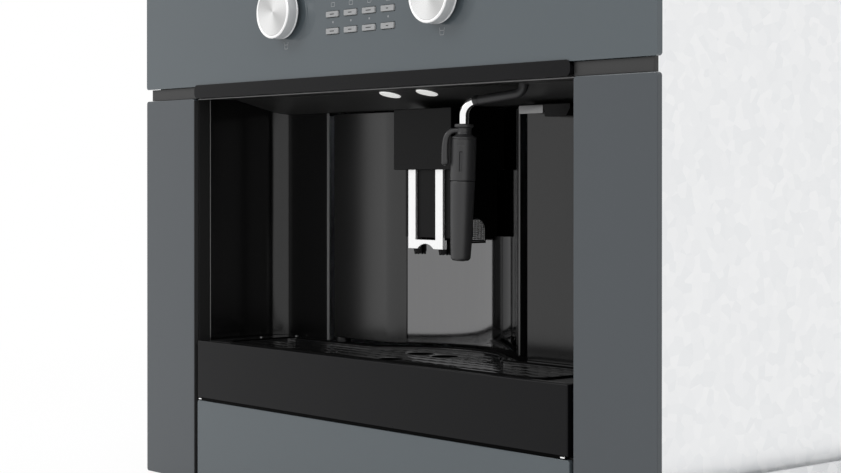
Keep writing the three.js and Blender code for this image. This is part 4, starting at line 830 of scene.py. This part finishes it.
def nozzleShape(x):
    # rings of (radius, height); the lowest rings rise and fall round the rim, which gives the teeth
    s = spout
    turns = around(108)
    wave = np.clip(0.5 + 1.6 * np.cos(s["teeth"] * turns), 0.0, 1.0)
    radius, bottom, deep = s["radius"], s["bottom"], s["bottom"] + s["boreDeep"]
    rings = [(0.0, s["top"], 0), (radius, s["top"], 0)]
    rings += [(radius - into, bottom + up, share) for into, up, share in s["foot"]]
    rings += [(s["bore"], bottom + s["boreLip"], 0), (s["bore"], deep, 0), (0.0, deep, 0)]
    rows = [np.stack((x + r * np.cos(turns), s["nozzleY"] + r * np.sin(turns), z + s["tooth"] * wave * share), -1)
            for r, z, share in rings]
    return surface(np.array(rows))


def gripPlate(side):
    # a D: rows of half-width sqrt(r^2 - dz^2) above the middle, full below, closed by its back
    s = spout
    z = np.concatenate((np.linspace(s["gripLow"], s["gripZ"], 6),
                        s["gripZ"] + s["gripRadius"] * np.sin(np.linspace(0.1, 0.5 * np.pi, 14))))
    half = np.sqrt(np.clip(s["gripRadius"] ** 2 - np.clip(z - s["gripZ"], 0, None) ** 2, 0.01, None))
    proud, sunk = s["plate"]
    columns = np.array([(-1.0, proud), (1.0, proud), (1.0, sunk), (-1.0, sunk)])
    y = s["gripY"] + half[:, None] * columns[:, 0]
    x = side * (s["gripX"] + np.repeat(columns[None, :, 1], len(z), axis=0))
    return surface(np.stack((x, y, np.repeat(z[:, None], 4, axis=1)), -1), caps=True)


def gripDots(side):
    # small domes at a square pitch, kept where the D holds them
    s = spout
    steps = np.arange(-s["dotHalfCount"], s["dotHalfCount"] + 1) * s["dotPitch"]
    y, z = (v.ravel() for v in np.meshgrid(s["gripY"] + steps, s["gripZ"] - s["dotDrop"] + steps))
    reach = s["gripRadius"] - s["dotIn"]
    inside = (np.abs(y - s["gripY"]) < reach - s["dotSide"]) & (z > s["gripLow"] + s["dotLow"]) & (
        (z < s["gripZ"]) | (np.hypot(y - s["gripY"], z - s["gripZ"]) < reach))
    turns = around(8)
    dome = []
    for share, out in s["dotRings"]:
        radius, x = share * s["dot"], side * (s["gripX"] + s["dotOut"] + out)
        dome.append(np.stack((np.full(8, x), radius * np.cos(turns), radius * np.sin(turns)), -1))
    return together(*[surface(np.array(dome) + np.array((0.0, a, b)), caps=True)
                      for a, b in zip(y[inside], z[inside])])


def gripRim(side):
    # a fine bead round the D
    s = spout
    turns = np.linspace(0.0, np.pi, 24)
    radius = s["gripRadius"] - s["rimIn"]
    into, up = s["rimCorner"]
    foot, corner = s["gripLow"] + s["rimFoot"], s["gripLow"] + up
    y = np.concatenate(([radius], radius * np.cos(turns), [-radius, -radius + into, radius - into, radius]))
    z = np.concatenate(([corner], s["gripZ"] + radius * np.sin(turns), [corner, foot, foot, corner]))
    x = np.full(len(y), side * (s["gripX"] + s["rimOut"]))
    return swept(np.stack((x, s["gripY"] + y, z), -1), circleSection(s["rimRadius"], 8))


for side, name in ((-1, "Left"), (1, "Right")):
    node = f"nozzle_{name.lower()}"
    drawn(f"Nozzle{name}", nozzleShape(side * spout["nozzleX"]), "spoutBlack", node, stands=True)
    drawn(f"GripPlate{name}", gripPlate(side), "spoutBlack", node)
    # the bead round the D is in the painted highlight grey, for the light its rim catches
    drawn(f"GripRim{name}", gripRim(side), "paintedHighlightGrey", node, sharp=60.0)
    drawn(f"GripDots{name}", gripDots(side), "gripSteel", node, "spout_trim", sharp=60.0)
print("spout made")

# drip grid: a thin plate with rows of round-ended slots, drain holes under the nozzles and one for the float
grid = {"half": 183.0, "front": 10.0, "rear": 72.0, "bulgeTop": 112.5, "bulgeRadius": 90.0, "fillet": 15.0,
        "corner": 8.0, "low": 118.3, "high": 120.0, "edge": 0.07, "play": 1.5, "slotLong": 6.0, "slotWide": 2.4,
        "pitch": 12.55, "firstRow": 18.0, "rows": 8, "halfColumns": 14, "margin": 5.0, "web": 1.2,
        "holes": ((-spout["nozzleX"], spout["nozzleY"], 10.5), (spout["nozzleX"], spout["nozzleY"], 10.5),
                  (2.0, 28.0, 9.5))}  # two drains and the float's: x, y, radius


def arcPoints(x, y, radius, start, end, steps=10):
    turns = np.radians(np.linspace(start, end, steps))
    return np.stack((x + radius * np.cos(turns), y + radius * np.sin(turns)), axis=-1)


def gridOutline(grow):
    # straight front and sides, round corners, and a rear that bulges in the middle with hollow fillets beside it;
    # all of it set outwards by grow
    g = grid
    front, rear = g["front"] - grow, g["rear"] + grow
    middle, radius = g["bulgeTop"] - g["bulgeRadius"], g["bulgeRadius"] + grow
    fillet, corner = g["fillet"] - grow, g["corner"] + grow
    filletX = math.sqrt((radius + fillet) ** 2 - (rear + fillet - middle) ** 2)
    turn = math.degrees(math.atan2(rear + fillet - middle, filletX))
    cornerX = g["half"] + grow - corner
    return np.concatenate((
        arcPoints(-cornerX, front + corner, corner, 180, 270), arcPoints(cornerX, front + corner, corner, -90, 0),
        arcPoints(cornerX, rear - corner, corner, 0, 90), arcPoints(filletX, rear + fillet, fillet, -90, turn - 180),
        arcPoints(0.0, middle, radius, turn, 180 - turn, 40), arcPoints(-filletX, rear + fillet, fillet, -turn, -90),
        arcPoints(-cornerX, rear - corner, corner, 90, 180)))


def slotPlaces():
    # middles at a square pitch, kept where the outline and the holes leave room
    g = grid
    x, y = (v.ravel() for v in np.meshgrid((np.arange(-g["halfColumns"], g["halfColumns"]) + 0.5) * g["pitch"],
                                           g["firstRow"] + np.arange(g["rows"]) * g["pitch"]))
    middle = g["bulgeTop"] - g["bulgeRadius"]
    flat = y + g["slotWide"] / 2 < g["rear"] - g["margin"] / 2
    bulge = np.hypot(np.abs(x) + g["slotLong"] / 2, y - middle) < g["bulgeRadius"] - g["margin"]
    keep = flat | bulge
    for holeX, holeY, radius in g["holes"]:
        keep &= np.hypot(x - holeX, y - holeY) > radius + g["slotLong"] / 2 + g["web"]
    return np.stack((x[keep], y[keep]), axis=-1)


def plateMesh(title, outlines, low, high, edge):
    # a flat curve with holes, filled, given its thickness and a rounded edge, then made a mesh
    data = bpy.data.curves.new(title, "CURVE")
    data.dimensions = "2D"
    data.fill_mode = "BOTH"
    data.extrude = ((high - low) / 2 - edge) * mm
    data.bevel_depth = edge * mm
    data.bevel_resolution = 1
    for points in outlines:
        spline = data.splines.new("POLY")
        spline.points.add(len(points) - 1)
        flat = np.zeros((len(points), 4))
        flat[:, :2] = points * mm
        flat[:, 3] = 1.0
        spline.points.foreach_set("co", flat.ravel())
        spline.use_cyclic_u = True
    holder = bpy.data.objects.new(title, data)
    mesh = bpy.data.meshes.new_from_object(holder)
    bpy.data.objects.remove(holder)
    mesh.transform(Matrix.Translation((0.0, glassY, (low + high) / 2 * mm)))
    return cleaned(mesh)


endRadius = grid["slotWide"] / 2
straight = grid["slotLong"] / 2 - endRadius
slot = np.concatenate((arcPoints(straight, 0.0, endRadius, -90, 90, 7),
                       arcPoints(-straight, 0.0, endRadius, 90, 270, 7)))
slots = [slot[::-1] + place for place in slotPlaces()]
holes = [arcPoints(x, y, radius, 360, 12, 30) for x, y, radius in grid["holes"]]
plate = plateMesh("DripGrid", [gridOutline(-grid["play"])] + slots + holes, grid["low"], grid["high"], grid["edge"])
finishPiece("DripGrid", plate, "gridBlack", "drip_grid", stands=True, sharp=30.0)
# the sides of the plate and of its slots take the painted shade black
secondMaterial(plate, "paintedShadeBlack", lambda p: abs(p.normal.z) < 0.9)  # the sides of the plate and of its slots
print("drip grid made:", len(slots), "slots")

# a round bead on the tray round the grid, in painted shade black for the dark line there: the outline grown by out +
# r cos t, at height level + r sin t
rim = {"out": 3.0, "radius": 1.3, "level": 120.9}
rows = []
for turn in np.linspace(0.0, 2.0 * np.pi, 13):
    plan = gridOutline(rim["out"] + rim["radius"] * math.cos(turn))
    rows.append(np.hstack((plan, np.full((len(plan), 1), rim["level"] + rim["radius"] * math.sin(turn)))))
drawn("TrayRimBead", surface(np.array(rows)), "paintedShadeBlack", "drip_tray", sharp=60.0)

# pan-headed screws in the casing: rear (x, z), top (x, y) and sides (y, z)
casing = {"rear": 395.0, "side": 262.2, "top": 443.0,
          "rearScrews": (((-250.0, -95.0, 95.0, 250.0), (20.0, 430.0)), ((-250.0, 250.0), (160.0, 300.0))),
          "topScrews": (((-246.0, 246.0), (34.0, 380.0)), ((-40.0, 60.0), (34.0,))),
          "sideScrews": ((34.0, 380.0), (90.0, 250.0, 425.0))}
# the screw's head: all but the radius and the depth below the sheet are shares of the radius
screw = {"radius": 3.4, "sunk": 0.15, "dome": 0.42, "rim": 0.12, "armWide": 0.09, "armLong": 0.52, "armDeep": 0.3,
         "armSoft": 0.12}


def screwShape(centre, normal):
    # a pan head on a polar grid: height rim r + dome r (1 - t^2.4), less a cross-shaped hollow
    radius, turns = screw["radius"], around(40)
    share = np.linspace(0.0, 1.0, 12)[:, None]
    height = screw["dome"] * radius * (1 - share ** 2.4) + screw["rim"] * radius
    a, b = share * radius * np.cos(turns), share * radius * np.sin(turns)
    wide, long = screw["armWide"] * radius, screw["armLong"] * radius
    arm = np.minimum(np.maximum(np.abs(a) - wide, np.abs(b) - long), np.maximum(np.abs(b) - wide, np.abs(a) - long))
    height = height - screw["armDeep"] * radius * np.clip(0.5 - arm / (screw["armSoft"] * radius), 0.0, 1.0)
    foot = np.full((2, len(turns)), -screw["sunk"])
    a, b = (np.vstack((v, v[-1:], v[-1:] * 0)) for v in (a, b))
    turn = np.array(Vector((0.0, 0.0, 1.0)).rotation_difference(Vector(normal)).to_matrix())
    rows = np.stack((a, b, np.vstack((height, foot))), axis=-1) @ turn.T + np.asarray(centre, float)
    return surface(rows)


screws = [screwShape((x, casing["rear"], z), (0, 1, 0)) for xs, zs in casing["rearScrews"] for x in xs for z in zs]
screws += [screwShape((x, y, casing["top"]), (0, 0, 1)) for xs, ys in casing["topScrews"] for x in xs for y in ys]
ys, zs = casing["sideScrews"]
screws += [screwShape((side * casing["side"], y, z), (side, 0, 0)) for side in (-1, 1) for y in ys for z in zs]
drawn("CasingScrews", together(*screws), "screwSteel", "chassis", sharp=45.0)

vents = {"x": (40.0, 130.0), "over": 1.5, "low": 330.0, "high": 4.0, "pitch": 12.0, "count": 8, "proud": 1.7,
         "sheet": 0.7, "gap": 0.02, "outside": (1.6, 1.2), "inside": (0.9, 0.5)}  # top over the slot, drop over it


def louvreShape(z):
    # a pressed hood over a slot: a quarter-ellipse lip, proud by sqrt(1 - |2 s - 1|^12) along its length
    v = vents
    share = np.linspace(0.0, 1.0, 28)
    x = np.linspace(v["x"][0] - v["over"], v["x"][1] + v["over"], 28)
    swell = np.sqrt(np.clip(1 - np.abs(2 * share - 1) ** 12, 0.0, 1.0))
    turns = np.linspace(0.0, 0.5 * np.pi, 8)
    out = np.concatenate((np.sin(turns) * v["proud"], np.sin(turns[::-1]) * (v["proud"] - v["sheet"])))
    up = np.concatenate([v["high"] + top - (1 - np.cos(angles)) * (v["high"] + drop)
                         for (top, drop), angles in ((v["outside"], turns), (v["inside"], turns[::-1]))])
    y = casing["rear"] + v["gap"] + out[None, :] * swell[:, None]
    level = z + np.repeat(up[None, :], len(x), axis=0)
    return surface(np.stack((np.repeat(x[:, None], len(out), axis=1), y, level), -1), caps=True)


hoods = together(*[louvreShape(vents["low"] + i * vents["pitch"]) for i in range(vents["count"])])
drawn("VentHoods", hoods, "zincSheet", "chassis", sharp=50.0)

# generic marks on the glass: outlines and dots a few hundredths of a millimetre proud
marks = {"front": -0.04, "back": 0.2, "edge": 0.02, "line": 0.35, "cups": (-93.0, 93.0), "cupZ": 361.6,
         "cupSize": 5.2, "columns": (-33.0, -11.0, 11.0, 33.0), "dotZ": 376.2, "dotRadius": 0.8, "boxZ": 389.6,
         "box": (4.2, 3.0),
         # a plain tapered cup: two slanted sides, a base and a fill line
         "cup": [((-0.5, 0.5), (-0.36, -0.5)), ((-0.36, -0.5), (0.36, -0.5)), ((0.36, -0.5), (0.5, 0.5)),
                 ((-0.44, 0.1), (0.44, 0.1))]}


def markSlab(x, z, wide, high, corner):
    return slab(wide, high, corner, marks["front"], marks["back"], marks["edge"], (x, z))


def frameMark(x, z, wide, high):
    # four bars round an open box
    t = marks["line"]
    bars = [(x, z + high / 2, wide, t), (x, z - high / 2, wide, t),
            (x - wide / 2, z, t, high), (x + wide / 2, z, t, high)]
    return [markSlab(*bar, t * 0.45) for bar in bars]


def cupMark(x, z, size):
    out = []
    for line in marks["cup"]:
        start, end = np.array((x, z)) + np.array(line) * size
        run = (end - start) / np.linalg.norm(end - start)
        side = np.array((-run[1], run[0])) * marks["line"] / 2
        ring = np.array((start - side, end - side, end + side, start + side))
        rows = [np.insert(ring, 1, level, axis=1) for level in (marks["front"], marks["back"])]
        out.append(surface(np.array(rows), caps=True))
    return out


panelMarks = []
for x in marks["cups"]:
    panelMarks += cupMark(x, marks["cupZ"], marks["cupSize"])
for x in marks["columns"]:
    dotWide = 2 * marks["dotRadius"]
    panelMarks.append(markSlab(x, marks["dotZ"], dotWide, dotWide, marks["dotRadius"] * 0.98))
    panelMarks += frameMark(x, marks["boxZ"], *marks["box"])
drawn("PanelMarks", together(*panelMarks), "markInk", "control_glass")

# plain plates: width, height, corner, front, back, edge, then the middles in (x, z)
plates = {"display": (96.0, 38.0, 2.0, -0.08, 0.3, 0.05, [(0.0, 421.0)]),
          "restPlate": (25.0, 6.0, 0.6, 77.6, 78.3, 0.15, [(103.5, 307.6)]),
          # painted shadow: a dark strip in the gap under the tray front
          "gapShadeStrip": (434.0, 1.8, 0.4, -0.15, 3.0, 0.15, [(0.0, 72.3)]),
          # painted highlights: bright metal dots at the tray front's lower corners, for the highlights seen there
          "cornerGlints": (4.2, 0.9, 0.4, -0.4, 0.6, 0.1, [(-214.0, 72.3), (214.0, 72.3)]),
          "pins": (1.6, 4.6, 0.3, 379.0, 393.0, 0.3, [(-181.5, 50.5), (-168.5, 50.5), (-175.0, 54.5)])}


def slabs(name):
    *sizes, middles = plates[name]
    return together(*[slab(*sizes, middle) for middle in middles])


drawn("DisplayWindow", slabs("display"), "displayGlass", "control_glass")
drawn("WandRestPlate", slabs("restPlate"), "plateSteel", "wand_rest")

# two bright studs on the rim of the tray
stud = {"profile": [(0.0, 1.0), (0.9, 0.9), (1.5, 0.4), (1.6, 0.0), (1.6, -0.3), (0.0, -0.3)], "level": 121.0,
        "places": ((-206.0, 57.0), (-196.0, 87.0))}
domes = [turned(softened(stud["profile"], 0.3), (x, y, stud["level"]), "z", 32) for x, y in stud["places"]]
drawn("TrayStuds", together(*domes), "plateSteel", "drip_tray", "spout_trim")

# painted highlights: fine grey lines on the niche's top edge, the front edge of each niche wall and the door's right
# edge, where those edges catch the light
paintedHighlightLines = {  # name: node, start, end, radius
    "NicheTopEdge": ("front_frame", (-222.5, 4.3, 323.6), (222.5, 4.3, 323.6), 0.55),
    "NicheWallEdgeLeft": ("niche_floor", (-223.25, 16.4, 122.0), (-223.25, 16.4, 323.0), 0.33),
    "NicheWallEdgeRight": ("niche_floor", (223.25, 16.4, 122.0), (223.25, 16.4, 323.0), 0.33),
    "DoorRightEdge": ("service_door", (76.3, 92.25, 124.5), (76.3, 92.25, 309.5), 0.42),
}
for name, (node, start, end, radius) in paintedHighlightLines.items():
    drawn(name, straightBead(start, end, radius), "paintedHighlightGrey", node, sharp=60.0)

# a painted shadow: a dark strip in the gap under the front of the tray; painted highlights: a small bright metal dot
# at each lower corner of the tray front; and the pins of the inlet
drawn("TrayGapShade", slabs("gapShadeStrip"), "paintedShadeBlack", "tray_front")
drawn("TrayCornerGlints", slabs("cornerGlints"), "trimSteel", "tray_front", "spout_trim")
drawn("InletPins", slabs("pins"), "trimSteel", "mains_inlet", "spout_trim")
print("small fittings made")
